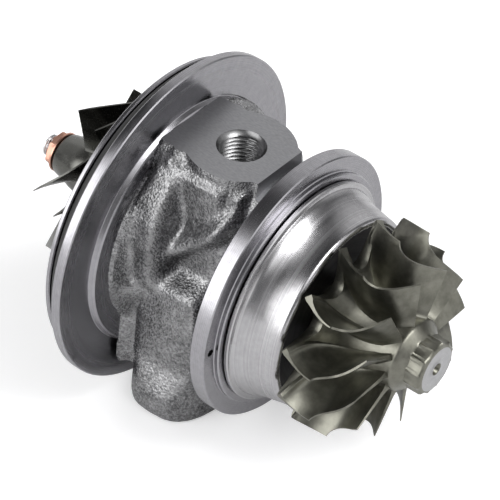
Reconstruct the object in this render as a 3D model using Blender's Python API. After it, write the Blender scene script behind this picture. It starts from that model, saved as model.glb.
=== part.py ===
"""Turbocharger cartridge: the bearing housing and its rotor, without the two outer housings.

The rotor axis is X, with the turbine at +X and the compressor at -X. The oil inlet faces
+Z and the oil drain faces -Z. Stations along X are measured in metres from the face of
the compressor flange that looks at the turbine, and the finished part is centred on its
own length by the constant MIDDLE.
"""

import math

import bmesh
import bpy
from mathutils import Vector

for old in list(bpy.data.objects):
    bpy.data.objects.remove(old, do_unlink=True)

# Clearances
SEAT_GAP = 0.0003
RUN_GAP = 0.0003
CUT_ALLOWANCE = 0.002
SEGMENTS_LARGE = 48
SEGMENTS_MEDIUM = 28
SEGMENTS_SMALL = 20

# Compressor flange: a disc and a narrower land with the cover's O-ring between them
DISC_RADIUS = 0.0480
DISC_THICKNESS = 0.0028
RIM_CHAMFER = 0.0003
COVER_GROOVE_WIDTH = 0.0038
LAND_RADIUS = 0.04425
LAND_THICKNESS = 0.0014
COVER_RING_SECTION = 0.00155
COVER_RING_STANDS_OUT = 0.0005
HUB_STEP_RADIUS = 0.0365
HUB_STEP_HEIGHT = 0.0015
WHEEL_RECESS_CLEARANCE = 0.0006
WHEEL_RECESS_DEPTH = 0.0008

# Turbine flange, with a raised pilot that the heat shield sits on
FLANGE_SPACING = 0.0356
TURBINE_FLANGE_RADIUS = 0.0382
TURBINE_FLANGE_THICKNESS = 0.0046
PILOT_RADIUS = 0.0338
PILOT_HEIGHT = 0.0014
NOSE_RADIUS = 0.0140
NOSE_LENGTH = 0.0069
DOWEL_HOLE_RADIUS = 0.0011
DOWEL_HOLE_DEPTH = 0.0030

# Casting between the flanges. The shoulder's arch is drawn as (across, height) from the
# axis; it is the crest that runs from the inlet pad down both sides.
CAST_FOOT_RADIUS = 0.0303
SHOULDER_ARCH = ((0.0, 0.0366), (0.0125, 0.0362), (0.0162, 0.0338), (0.0189, 0.0289),
                 (0.0219, 0.0206), (0.0236, 0.0155), (0.0240, 0.0095), (0.0240, 0.0),
                 (0.0232, -0.0080), (0.0180, -0.0165), (0.0, -0.0240))
CREST_STATION = 0.0078
CREST_DROP = 0.0034
NECK_RADIUS = 0.0172
FLARE_RADIUS = 0.0225
FLARE_LENGTH = 0.0035
GRAIN = 0.00075
CAST_FACES = 2300

# Oil inlet boss with its milled pad, a round boss crossed by a bar
INLET_STATION = 0.0185
PAD_HEIGHT = 0.0353
PAD_RADIUS = 0.0147
PAD_BAR_HALF_WIDTH = 0.0091
PAD_ROOT_HALF_WIDTH = 0.0120
MILLING_ALLOWANCE = 0.0012
BOSS_FOOT_HEIGHT = 0.0130
BOSS_FOOT_HALF_LENGTH = 0.0126
BOSS_FOOT_HALF_WIDTH = 0.0207
BOSS_FOOT_TILT = 0.80
CLAMP_GROOVE_WIDTH = 0.0044
CLAMP_GROOVE_RADIUS = 0.0320
INLET_BORE_RADIUS = 0.0054
INLET_MOUTH_RADIUS = 0.0067
INLET_DEPTH = 0.0130
FEED_RADIUS = 0.0020
GALLERY_HEIGHT = 0.0125
GALLERY_RADIUS = 0.0015

# Oil drain column, with two bolt holes in its oval foot
DRAIN_STATION = 0.0151
DRAIN_FACE_DEPTH = 0.0447
DRAIN_FOOT_HALF_LENGTH = 0.0130
DRAIN_FOOT_HALF_WIDTH = 0.0252
DRAIN_FOOT_THICKNESS = 0.0070
DRAIN_FLARE_HEIGHT = 0.0080
DRAIN_HALF_LENGTH = 0.0100
DRAIN_HALF_WIDTH = 0.0221
DRAIN_TOP_DEPTH = 0.0014
DRAIN_BORE_RADIUS = 0.0085
DRAIN_BORE_TOP = 0.0140
DRAIN_BOLT_OFFSET = 0.0175
DRAIN_BOLT_RADIUS = 0.0034
DRAIN_BOLT_DEPTH = 0.0120
GUSSET_HALF_WIDTH = 0.0219
GUSSET_SPREAD = 0.0022
GUSSET_THICKNESS = 0.0040
GUSSET_DEPTH = 0.0372
WEB_HALF_WIDTH = 0.0130

# Shaft
SHAFT_END = -0.0449
STUB_RADIUS = 0.0031
JOURNAL_RADIUS = 0.0050
RELIEF_DEPTH = 0.0004
SEAL_HUB_RADIUS = 0.0082
SEAL_HUB_LENGTH = 0.0081
SEAL_HUB_OVERHANG = 0.0024
SEAL_CAVITY_LENGTH = 0.0024
SEAL_CAVITY_DEPTH = 0.0032
BEARING_BORE_RELIEF = 0.0012
PISTON_RING_THICKNESS = 0.0011
PISTON_RING_WIDTH = 0.0014

# Journal bearings and their retaining rings
BEARING_RADIUS = 0.0080
BEARING_LENGTH = 0.0080
BEARING_OIL_HOLES = 6
BEARING_OIL_HOLE_RADIUS = 0.0009
BEARING_RING_THICKNESS = 0.0010
BEARING_RING_INNER = 0.0064
BEARING_RING_BITE = 0.0009
THRUST_POCKET_DEPTH = 0.0023

# Thrust bearing, its collars and the oil deflector
THRUST_SEAT = 0.0095
THRUST_BEARING_THICKNESS = 0.0041
THRUST_BEARING_RADIUS = 0.0192
THRUST_BEARING_FLAT = 0.0120
THRUST_PIN_RADIUS = 0.0012
THRUST_PIN_OFFSET = 0.0150
THRUST_PIN_DEPTH = 0.0030
SPACER_RADIUS = 0.0060
COLLAR_RADIUS = 0.0090
COLLAR_THICKNESS = 0.0017
DEFLECTOR_THICKNESS = 0.0010

# Insert that closes the compressor side
INSERT_RADIUS = 0.0242
INSERT_RIM_THICKNESS = 0.0065
INSERT_CENTRE_RADIUS = 0.0215
INSERT_RING_SECTION = 0.0011
SLEEVE_RADIUS = 0.0064
SNAP_RING_THICKNESS = 0.0013
SNAP_RING_WIDTH = 0.0034
SNAP_RING_BITE = 0.0015
SNAP_RING_OPENING = 34.0

# Heat shield, a pressed cup with its mouth towards the turbine wheel
SHIELD_SHEET = 0.0012
SHIELD_BRIM_RADIUS = 0.0320
SHIELD_BASE_RADIUS = 0.0303
SHIELD_BARREL_RADIUS = 0.0292
SHIELD_MOUTH_RADIUS = 0.0277
SHIELD_HEIGHT = 0.0135
SHIELD_WELL_DEPTH = 0.0032
SHIELD_HOLE_RADIUS = 0.0094

# Turbine wheel
TURBINE_BLADES = 12
TURBINE_FIRST_BLADE = 16.0
WHEEL_BACK_GAP = 0.0018
TURBINE_DISC_THICKNESS = 0.0017
TURBINE_TIP_RADIUS = 0.0298
INDUCER_WIDTH = 0.0085
EXDUCER_RADIUS = 0.0241
EXDUCER_LENGTH = 0.0105
TURBINE_HUB_RADIUS = 0.0104
TURBINE_HUB_POWER = 2.6
SCALLOP_RADIUS = 0.0192
SCALLOP_POWER = 2.8
TURBINE_RIM_SETBACK = 0.0004
BLADE_PITCH_SHARES = (0.0, 0.13, 0.36, 0.64, 0.87)
NECK_LENGTH = 0.0034
SOCKET_RADIUS = 0.0079
SOCKET_LENGTH = 0.0044
SOCKET_LOBES = 12
SOCKET_LOBE_DEPTH = 0.0010
CENTRE_DRILL_RADIUS = 0.0013
TURBINE_BLADE_TIP = 0.0010
TURBINE_BLADE_ROOT = 0.0018

# Compressor wheel
COMPRESSOR_FULL_BLADES = 6
COMPRESSOR_FIRST_BLADE = 106.0
WHEEL_FRONT_GAP = 0.0013
COMPRESSOR_TIP_RADIUS = 0.0310
COMPRESSOR_TIP_WIDTH = 0.0034
COMPRESSOR_DISC_THICKNESS = 0.0009
COMPRESSOR_DISC_CONE = 0.0008
EYE_RADIUS = 0.0244
EYE_DEPTH = 0.0194
COMPRESSOR_HUB_RADIUS = 0.0080
COMPRESSOR_NOSE_RADIUS = 0.0060
COMPRESSOR_NOSE_LENGTH = 0.0088
SPLITTER_START = 0.36
COMPRESSOR_BLADE_TIP = 0.0005
COMPRESSOR_BLADE_ROOT = 0.0013

# Lock nut
NUT_FLANGE_RADIUS = 0.0073
NUT_FLANGE_THICKNESS = 0.0009
NUT_CONE_THICKNESS = 0.0006
NUT_HEX_RADIUS = 0.0056
NUT_HEX_LENGTH = 0.0021

# Stations that follow from the sizes above
GROOVE_REAR = -DISC_THICKNESS - COVER_GROOVE_WIDTH
REAR_FACE = GROOVE_REAR - LAND_THICKNESS
TURBINE_FACE = FLANGE_SPACING + TURBINE_FLANGE_THICKNESS
PILOT_FACE = TURBINE_FACE + PILOT_HEIGHT
NOSE_END = PILOT_FACE + NOSE_LENGTH
THRUST_BEARING_FRONT = THRUST_SEAT - SEAT_GAP - THRUST_BEARING_THICKNESS
DEFLECTOR_FRONT = THRUST_BEARING_FRONT - SEAT_GAP - DEFLECTOR_THICKNESS
INSERT_BACK = DEFLECTOR_FRONT - SEAT_GAP
INSERT_FRONT = INSERT_BACK - INSERT_RIM_THICKNESS
INSERT_BORE_RADIUS = INSERT_RADIUS + SEAT_GAP
INSERT_CENTRE_FACE = REAR_FACE + SEAT_GAP
THRUST_RING_START = THRUST_SEAT
JOURNAL_START = THRUST_RING_START + COLLAR_THICKNESS + SEAT_GAP
BEARING_BORE_START = THRUST_SEAT + THRUST_POCKET_DEPTH
BEARING_BORE_RADIUS = BEARING_RADIUS + RUN_GAP
COMPRESSOR_BEARING_START = BEARING_BORE_START + SEAT_GAP
SEAL_HUB_END = NOSE_END + SEAL_HUB_OVERHANG
SEAL_HUB_START = SEAL_HUB_END - SEAL_HUB_LENGTH
BEARING_BORE_END = SEAL_HUB_START - SEAL_CAVITY_LENGTH
TURBINE_BEARING_START = (BEARING_BORE_END - BEARING_BORE_RELIEF - BEARING_RING_THICKNESS
                         - 2 * SEAT_GAP - BEARING_LENGTH)
SEAL_BORE_RADIUS = SEAL_HUB_RADIUS + 0.0007
TURBINE_RING_STATION = SEAL_HUB_START + 0.0021
WHEEL_BOSS_START = SEAL_HUB_END + SEAT_GAP
SHIELD_BRIM_START = PILOT_FACE + SEAT_GAP
SHIELD_MOUTH = SHIELD_BRIM_START + SHIELD_HEIGHT
TURBINE_BACK = SHIELD_MOUTH + WHEEL_BACK_GAP
TURBINE_DISC_FRONT = TURBINE_BACK + TURBINE_DISC_THICKNESS
EXDUCER_STATION = TURBINE_DISC_FRONT + INDUCER_WIDTH + EXDUCER_LENGTH
TURBINE_NOSE_END = EXDUCER_STATION + NECK_LENGTH + SOCKET_LENGTH + 0.0006
WHEEL_BACK = REAR_FACE - WHEEL_FRONT_GAP
SLEEVE_END = WHEEL_BACK + SEAT_GAP
WHEEL_RIM_FRONT = WHEEL_BACK - COMPRESSOR_DISC_CONE - COMPRESSOR_DISC_THICKNESS
EYE_STATION = WHEEL_RIM_FRONT - EYE_DEPTH
COMPRESSOR_NOSE_END = EYE_STATION - COMPRESSOR_NOSE_LENGTH
MIDDLE = (SHAFT_END + TURBINE_NOSE_END) / 2


def metal(name, colour, roughness, metallic=1.0):
    made = bpy.data.materials.new(name)
    made.use_nodes = True
    shader = made.node_tree.nodes["Principled BSDF"]
    shader.inputs["Base Color"].default_value = (*colour, 1.0)
    shader.inputs["Roughness"].default_value = roughness
    shader.inputs["Metallic"].default_value = metallic
    return made


CAST_IRON = metal("cast_iron", (0.075, 0.075, 0.08), 0.65)
MILLED_IRON = metal("milled_cast_iron", (0.30, 0.30, 0.315), 0.32)
STEEL = metal("machined_steel", (0.55, 0.55, 0.57), 0.3)
SUPERALLOY = metal("turbine_superalloy", (0.19, 0.185, 0.16), 0.42)
ALUMINIUM = metal("machined_aluminium", (0.6, 0.61, 0.63), 0.3)
BRONZE = metal("bearing_bronze", (0.62, 0.45, 0.2), 0.35)
COPPER_PLATE = metal("copper_plate", (0.78, 0.47, 0.36), 0.3)
RUBBER = metal("black_rubber", (0.015, 0.015, 0.015), 0.6, metallic=0.0)


def finish_mesh(shape, name):
    """Turn a bmesh into a mesh with outward faces and sharp edges kept."""
    bmesh.ops.recalc_face_normals(shape, faces=shape.faces)
    mesh = bpy.data.meshes.new(name)
    shape.to_mesh(mesh)
    shape.free()
    mesh.shade_smooth()
    mesh.set_sharp_from_angle(angle=math.radians(32))
    return mesh


def make_object(name, mesh, material, parent=None, station=0.0):
    made = bpy.data.objects.new(name, mesh)
    bpy.context.scene.collection.objects.link(made)
    made.location.x = station
    made.parent = parent
    if material:
        mesh.materials.append(material)
    return made


def empty(name, parent=None, station=0.0):
    return make_object(name, None, None, parent, station)


def skin_rings(shape, rings, loop_rings=False, loop_points=True):
    """Join neighbouring rings of equal length with quads, and close the two ends."""
    rows = [[shape.verts.new(point) for point in ring] for ring in rings]
    pairs = list(zip(rows, rows[1:]))
    if loop_rings:
        pairs.append((rows[-1], rows[0]))
    count = len(rings[0])
    for first, second in pairs:
        for i in range(count if loop_points else count - 1):
            j = (i + 1) % count
            shape.faces.new((first[i], first[j], second[j], second[i]))
    if not loop_rings:
        shape.faces.new(rows[0][::-1])
        shape.faces.new(rows[-1])


def turned_mesh(name, profile, segments, opening=0.0):
    """Revolve a profile of (station, radius) points about X.

    A profile whose ends lie on the axis makes a solid; any other is a closed section and
    makes a ring. An opening in degrees leaves a gap at the top, as in a snap ring.
    """
    shape = bmesh.new()
    solid = profile[0][1] == 0.0
    if solid:
        profile = profile[1:-1]
    if not opening:
        angles = [2 * math.pi * (i + 0.5) / segments for i in range(segments)]
        rings = [[(x, r * math.cos(a), r * math.sin(a)) for a in angles] for x, r in profile]
        skin_rings(shape, rings, loop_rings=not solid)
    else:
        half = math.radians(opening) / 2
        sweep = 2 * math.pi - 2 * half
        steps = [math.pi / 2 + half + sweep * i / segments for i in range(segments + 1)]
        sections = [[(x, r * math.cos(a), r * math.sin(a)) for x, r in profile] for a in steps]
        skin_rings(shape, sections)
    return finish_mesh(shape, name)


def cutter(name, mesh, parent=None, material=None):
    """A hidden helper for a Boolean; with a material, the faces that it cuts take it."""
    made = make_object(name, mesh, material, parent)
    made.hide_render = True
    made.display_type = "WIRE"
    return made


def combine(target, other, operation):
    step = target.modifiers.new(other.name, "BOOLEAN")
    step.operation = operation
    step.object = other
    step.material_mode = "TRANSFER"


def rod_mesh(name, start, end, radius, segments=20, end_radius=None):
    """A round bar from start to end, tapered when end_radius is given."""
    start, end = Vector(start), Vector(end)
    turn = (end - start).to_track_quat("Z", "Y")
    rings = []
    for centre, size in ((start, radius), (end, radius if end_radius is None else end_radius)):
        angles = [2 * math.pi * i / segments for i in range(segments)]
        rings.append([centre + turn @ Vector((size * math.cos(a), size * math.sin(a), 0))
                      for a in angles])
    shape = bmesh.new()
    skin_rings(shape, rings)
    return finish_mesh(shape, name)


def box_mesh(name, low, high):
    shape = bmesh.new()
    bmesh.ops.create_cube(shape, size=1.0)
    size = [b - a for a, b in zip(low, high)]
    centre = [(a + b) / 2 for a, b in zip(low, high)]
    bmesh.ops.scale(shape, vec=size, verts=shape.verts)
    bmesh.ops.translate(shape, vec=centre, verts=shape.verts)
    return finish_mesh(shape, name)


def arc(centre, radius, start, end, steps):
    """Points (station, radius) on a circular arc between two angles in degrees."""
    points = []
    for i in range(steps + 1):
        a = math.radians(start + (end - start) * i / steps)
        points.append((centre[0] + radius * math.cos(a), centre[1] + radius * math.sin(a)))
    return points


def o_ring_mesh(name, radius, section, segments):
    return turned_mesh(name, arc((0, radius), section, 0, 300, 5), segments)


def machined_flanges_mesh():
    """Both flanges, the shield's pilot and the nose, turned about X as one spindle."""
    c = RIM_CHAMFER
    groove_floor = (LAND_RADIUS + COVER_RING_STANDS_OUT - 2 * COVER_RING_SECTION - SEAT_GAP)
    inside = NECK_RADIUS - 0.003
    return turned_mesh("machined_flanges", [
        (REAR_FACE, 0.0),
        (REAR_FACE, LAND_RADIUS - c), (REAR_FACE + c, LAND_RADIUS),
        (GROOVE_REAR, LAND_RADIUS), (GROOVE_REAR, groove_floor),
        (-DISC_THICKNESS, groove_floor),
        (-DISC_THICKNESS, DISC_RADIUS - c), (-DISC_THICKNESS + c, DISC_RADIUS),
        (-c, DISC_RADIUS), (0.0, DISC_RADIUS - c),
        (0.0, HUB_STEP_RADIUS), (HUB_STEP_HEIGHT, HUB_STEP_RADIUS - HUB_STEP_HEIGHT / 2),
        (HUB_STEP_HEIGHT, inside),
        (FLANGE_SPACING, inside), (FLANGE_SPACING, TURBINE_FLANGE_RADIUS - c),
        (FLANGE_SPACING + c, TURBINE_FLANGE_RADIUS),
        (TURBINE_FACE - c, TURBINE_FLANGE_RADIUS), (TURBINE_FACE, TURBINE_FLANGE_RADIUS - c),
        (TURBINE_FACE, PILOT_RADIUS), (PILOT_FACE - c, PILOT_RADIUS),
        (PILOT_FACE, PILOT_RADIUS - c),
        (PILOT_FACE, NOSE_RADIUS + 0.001), (PILOT_FACE + 0.001, NOSE_RADIUS),
        (NOSE_END, NOSE_RADIUS), (NOSE_END, 0.0),
    ], SEGMENTS_LARGE)


def rounded_block(half_length, half_width, power, count):
    """A rectangle with soft corners, as points (along, across); power 2 is an ellipse."""
    points = []
    for i in range(count):
        a = 2 * math.pi * (i + 0.5) / count
        c, s = math.cos(a), math.sin(a)
        points.append((math.copysign(abs(c) ** (2 / power), c) * half_length,
                       math.copysign(abs(s) ** (2 / power), s) * half_width))
    return points


def loft_upright(name, station, levels, count=64):
    """A loft along Z through levels (height, half length, half width, power, tilt).

    The tilt makes a level climb with X by that much per metre.
    """
    rings = []
    for height, half_length, half_width, power, tilt in levels:
        outline = rounded_block(half_length, half_width, power, count)
        rings.append([(station + x, y, height + tilt * x) for x, y in outline])
    shape = bmesh.new()
    skin_rings(shape, rings)
    return finish_mesh(shape, name)


def arch_radius(angle):
    """Radius of the shoulder's arch, at an angle in radians from +Z to either side."""
    out = Vector((math.sin(angle), math.cos(angle)))
    for first, second in zip(SHOULDER_ARCH, SHOULDER_ARCH[1:]):
        first, second = Vector(first), Vector(second)
        low, high = math.atan2(*first), math.atan2(*second)
        if low <= angle <= high + 1e-9:
            side = second - first
            return (first.x * side.y - first.y * side.x) / (out.x * side.y - out.y * side.x)
    return SHOULDER_ARCH[-1][1]


def shoulder_mesh():
    """The cast shoulder: from the round foot on the flange to the arch, then in to the neck."""
    foot, crest = HUB_STEP_HEIGHT, CREST_STATION
    sections = [
        (foot - 0.001, 0.0, 0.0),
        (foot + 0.0006, 0.0, -0.0004),
        (foot + 0.35 * (crest - foot), 0.45, -0.0002),
        (crest - 0.0012, 0.9, 0.0),
        (crest, 1.0, -0.0002),
        (crest + 0.0012, 1.0, -0.0016),
        (crest + CREST_DROP, 1.0, -0.0085),
    ]
    rings = []
    for station, share, offset in sections:
        ring = []
        for i in range(72):
            a = 2 * math.pi * i / 72
            arch = arch_radius(a if a <= math.pi else 2 * math.pi - a)
            r = CAST_FOOT_RADIUS + (arch - CAST_FOOT_RADIUS) * share + offset
            ring.append((station, r * math.sin(a), r * math.cos(a)))
        rings.append(ring)
    shape = bmesh.new()
    skin_rings(shape, rings)
    return finish_mesh(shape, "shoulder")


def neck_mesh():
    """The round neck round the bearings, flared where it meets the turbine flange."""
    end = FLANGE_SPACING + 0.001
    flare = FLANGE_SPACING - FLARE_LENGTH
    return turned_mesh("neck", [
        (HUB_STEP_HEIGHT, 0.0), (HUB_STEP_HEIGHT, NECK_RADIUS), (flare - 0.002, NECK_RADIUS),
        (flare + 0.001, NECK_RADIUS + 0.002), (FLANGE_SPACING - 0.001, FLARE_RADIUS),
        (end, FLARE_RADIUS), (end, 0.0),
    ], 48)


def inlet_boss_mesh():
    """The round inlet boss. It widens downwards to a foot whose lower edge is tilted."""
    top = PAD_HEIGHT + MILLING_ALLOWANCE
    foot = BOSS_FOOT_HEIGHT
    drop = top - foot
    wide, long, tilt = BOSS_FOOT_HALF_WIDTH, BOSS_FOOT_HALF_LENGTH, BOSS_FOOT_TILT
    levels = [
        (top, PAD_RADIUS, PAD_RADIUS, 2.0, 0.0),
        (top - 0.28 * drop, PAD_RADIUS, PAD_RADIUS + 0.0006, 2.0, 0.0),
        (top - 0.52 * drop, PAD_RADIUS, PAD_RADIUS + 0.0022, 2.3, 0.2 * tilt),
        (top - 0.74 * drop, long + 0.0012, wide - 0.0020, 2.7, 0.55 * tilt),
        (top - 0.90 * drop, long + 0.0004, wide - 0.0004, 3.0, 0.85 * tilt),
        (foot, long, wide, 3.0, tilt),
        (foot - 0.0016, long - 0.0010, wide - 0.0014, 3.0, tilt),
        (foot - 0.0060, long - 0.0035, NECK_RADIUS - 0.0020, 3.0, tilt),
    ]
    return loft_upright("inlet_boss", INLET_STATION, levels)


def pad_bars():
    """The bar across the inlet boss: its root on the compressor flange and its far end."""
    top = PAD_HEIGHT + MILLING_ALLOWANCE
    width, root = PAD_BAR_HALF_WIDTH, PAD_ROOT_HALF_WIDTH
    end = FLANGE_SPACING + 0.001
    half = (end - INLET_STATION) / 2
    far = loft_upright("pad_bar", INLET_STATION + half, [
        (top, half, width, 16.0, 0.0), (PAD_HEIGHT - 0.004, half, width + 0.0004, 16.0, 0.0),
        (FLARE_RADIUS, half, width + 0.0030, 16.0, 0.0), (0.0, half, width, 16.0, 0.0),
    ])
    start = HUB_STEP_HEIGHT - 0.001
    half = (INLET_STATION - start) / 2
    near = loft_upright("pad_root", start + half, [
        (top, half, root, 12.0, 0.0), (PAD_HEIGHT, half, root + 0.0004, 12.0, 0.0),
        (PAD_HEIGHT - 0.0060, half, root + 0.0036, 10.0, 0.0),
        (PAD_HEIGHT - 0.0130, half - 0.0010, root + 0.0054, 8.0, 0.0),
        (NECK_RADIUS - 0.0010, half - 0.0030, root, 6.0, 0.0),
    ])
    return far, near


def drain_column_mesh():
    """The drain column: a square shank that flares to an oval foot."""
    depth, thick, flare = DRAIN_FACE_DEPTH, DRAIN_FOOT_THICKNESS, DRAIN_FLARE_HEIGHT
    long, wide = DRAIN_FOOT_HALF_LENGTH, DRAIN_FOOT_HALF_WIDTH
    shank, waist = DRAIN_HALF_LENGTH, DRAIN_HALF_WIDTH
    top = DRAIN_TOP_DEPTH
    return loft_upright("drain_column", DRAIN_STATION, [
        (-depth - MILLING_ALLOWANCE, long - 0.0008, wide - 0.0008, 3.0, 0.0),
        (-depth + 0.0012, long, wide, 3.0, 0.0),
        (-depth + thick, long - 0.0002, wide - 0.0002, 3.2, 0.0),
        (-depth + thick + 0.45 * flare, (long + shank) / 2 - 0.0006, (wide + waist) / 2, 4.5, 0.0),
        (-depth + thick + flare, shank, waist, 14.0, 0.0),
        (-top - 0.0010, shank, waist, 14.0, 0.0),
        (-top, shank - 0.0003, waist - 0.0006, 12.0, 0.0),
        (-top + 0.0050, shank, NECK_RADIUS - 0.0020, 8.0, 0.0),
    ])


def web_mesh(name, end, half_width, spread, depth):
    """A cast web under the shoulder, from the compressor flange to end, its base spread."""
    rings = []
    for station, grow in ((HUB_STEP_HEIGHT - 0.001, spread), (end - 0.0008, 0.0004), (end, 0.0)):
        outline = rounded_block((depth + grow) / 2, half_width + grow, 9.0, 40)
        rings.append([(station, y, z - depth / 2) for z, y in outline])
    shape = bmesh.new()
    skin_rings(shape, rings)
    return finish_mesh(shape, name)


def cast_body(parent):
    """The raw casting: its forms grown into one skin, with the soft corners of a sand core."""
    forms = [
        shoulder_mesh(), neck_mesh(), inlet_boss_mesh(), *pad_bars(), drain_column_mesh(),
        web_mesh("gusset", GUSSET_THICKNESS, GUSSET_HALF_WIDTH, GUSSET_SPREAD, GUSSET_DEPTH),
        web_mesh("drain_web", DRAIN_STATION, WEB_HALF_WIDTH, 0.0, GUSSET_DEPTH - 0.001),
    ]
    shape = bmesh.new()
    for form in forms:
        shape.from_mesh(form)
    body = make_object("bearing_housing", finish_mesh(shape, "bearing_housing"), CAST_IRON,
                       parent)
    skin = body.modifiers.new("skin", "REMESH")
    skin.mode = "VOXEL"
    skin.voxel_size = GRAIN
    soften = body.modifiers.new("soften", "SMOOTH")
    soften.factor = 0.5
    soften.iterations = 4
    thin = body.modifiers.new("thin", "DECIMATE")
    graph = bpy.context.evaluated_depsgraph_get()
    thin.ratio = min(1.0, CAST_FACES / triangle_count(body, graph))
    return body


def triangle_count(target, graph):
    mesh = target.evaluated_get(graph).data
    mesh.calc_loop_triangles()
    return len(mesh.loop_triangles)


def housing_bore_mesh():
    """Everything turned out of the housing from its two ends."""
    clip = SNAP_RING_THICKNESS
    ring = BEARING_RING_THICKNESS
    ring_radius = BEARING_BORE_RADIUS + BEARING_RING_BITE + SEAT_GAP
    bore = BEARING_BORE_RADIUS
    cavity = bore + SEAL_CAVITY_DEPTH
    recess = COMPRESSOR_TIP_RADIUS + WHEEL_RECESS_CLEARANCE
    snap_rear = INSERT_FRONT - 2 * SEAT_GAP - clip
    profile = [
        (REAR_FACE - CUT_ALLOWANCE, 0.0), (REAR_FACE - CUT_ALLOWANCE, recess),
        (REAR_FACE + WHEEL_RECESS_DEPTH, recess),
        (REAR_FACE + WHEEL_RECESS_DEPTH, INSERT_BORE_RADIUS), (snap_rear, INSERT_BORE_RADIUS),
        (snap_rear, INSERT_BORE_RADIUS + SNAP_RING_BITE + SEAT_GAP),
        (INSERT_FRONT, INSERT_BORE_RADIUS + SNAP_RING_BITE + SEAT_GAP),
        (INSERT_FRONT, INSERT_BORE_RADIUS),
        (INSERT_BACK + SEAT_GAP, INSERT_BORE_RADIUS),
        (INSERT_BACK + SEAT_GAP, THRUST_BEARING_RADIUS + SEAT_GAP),
        (THRUST_SEAT, THRUST_BEARING_RADIUS + SEAT_GAP),
        (THRUST_SEAT, COLLAR_RADIUS + 2 * RUN_GAP),
        (BEARING_BORE_START, COLLAR_RADIUS + 2 * RUN_GAP), (BEARING_BORE_START, bore),
    ]
    for start in bearing_ring_stations():
        profile += [(start - SEAT_GAP, bore), (start - SEAT_GAP, ring_radius),
                    (start + ring + SEAT_GAP, ring_radius), (start + ring + SEAT_GAP, bore)]
    profile += [
        (BEARING_BORE_END, bore), (BEARING_BORE_END, cavity),
        (SEAL_HUB_START, cavity), (SEAL_HUB_START, SEAL_BORE_RADIUS),
        (NOSE_END + CUT_ALLOWANCE, SEAL_BORE_RADIUS), (NOSE_END + CUT_ALLOWANCE, 0.0),
    ]
    return turned_mesh("housing_bore", profile, SEGMENTS_MEDIUM)


def bearing_ring_stations():
    """Where the three retaining rings start, from the compressor side to the turbine."""
    return (
        COMPRESSOR_BEARING_START + BEARING_LENGTH + SEAT_GAP,
        TURBINE_BEARING_START - SEAT_GAP - BEARING_RING_THICKNESS,
        TURBINE_BEARING_START + BEARING_LENGTH + SEAT_GAP,
    )


def clamp_groove_mesh():
    """What is turned off the pad's bar beside the turbine flange, to let the clamp in."""
    start, end = FLANGE_SPACING - CLAMP_GROOVE_WIDTH, FLANGE_SPACING + 0.0002
    floor, outside = CLAMP_GROOVE_RADIUS, DISC_RADIUS
    return turned_mesh("clamp_groove", [
        (start, floor), (start, outside), (end, outside), (end, floor),
    ], SEGMENTS_LARGE)


def settle(target):
    """Apply the modifiers, and keep an edge sharp where it turns or where milling ends."""
    graph = bpy.context.evaluated_depsgraph_get()
    mesh = bpy.data.meshes.new_from_object(target.evaluated_get(graph))
    mesh.shade_smooth()
    mesh.set_sharp_from_angle(angle=math.radians(40))
    shape = bmesh.new()
    shape.from_mesh(mesh)
    for edge in shape.edges:
        if len({face.material_index for face in edge.link_faces}) > 1:
            edge.smooth = False
    shape.to_mesh(mesh)
    shape.free()
    target.modifiers.clear()
    target.data = mesh


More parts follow.
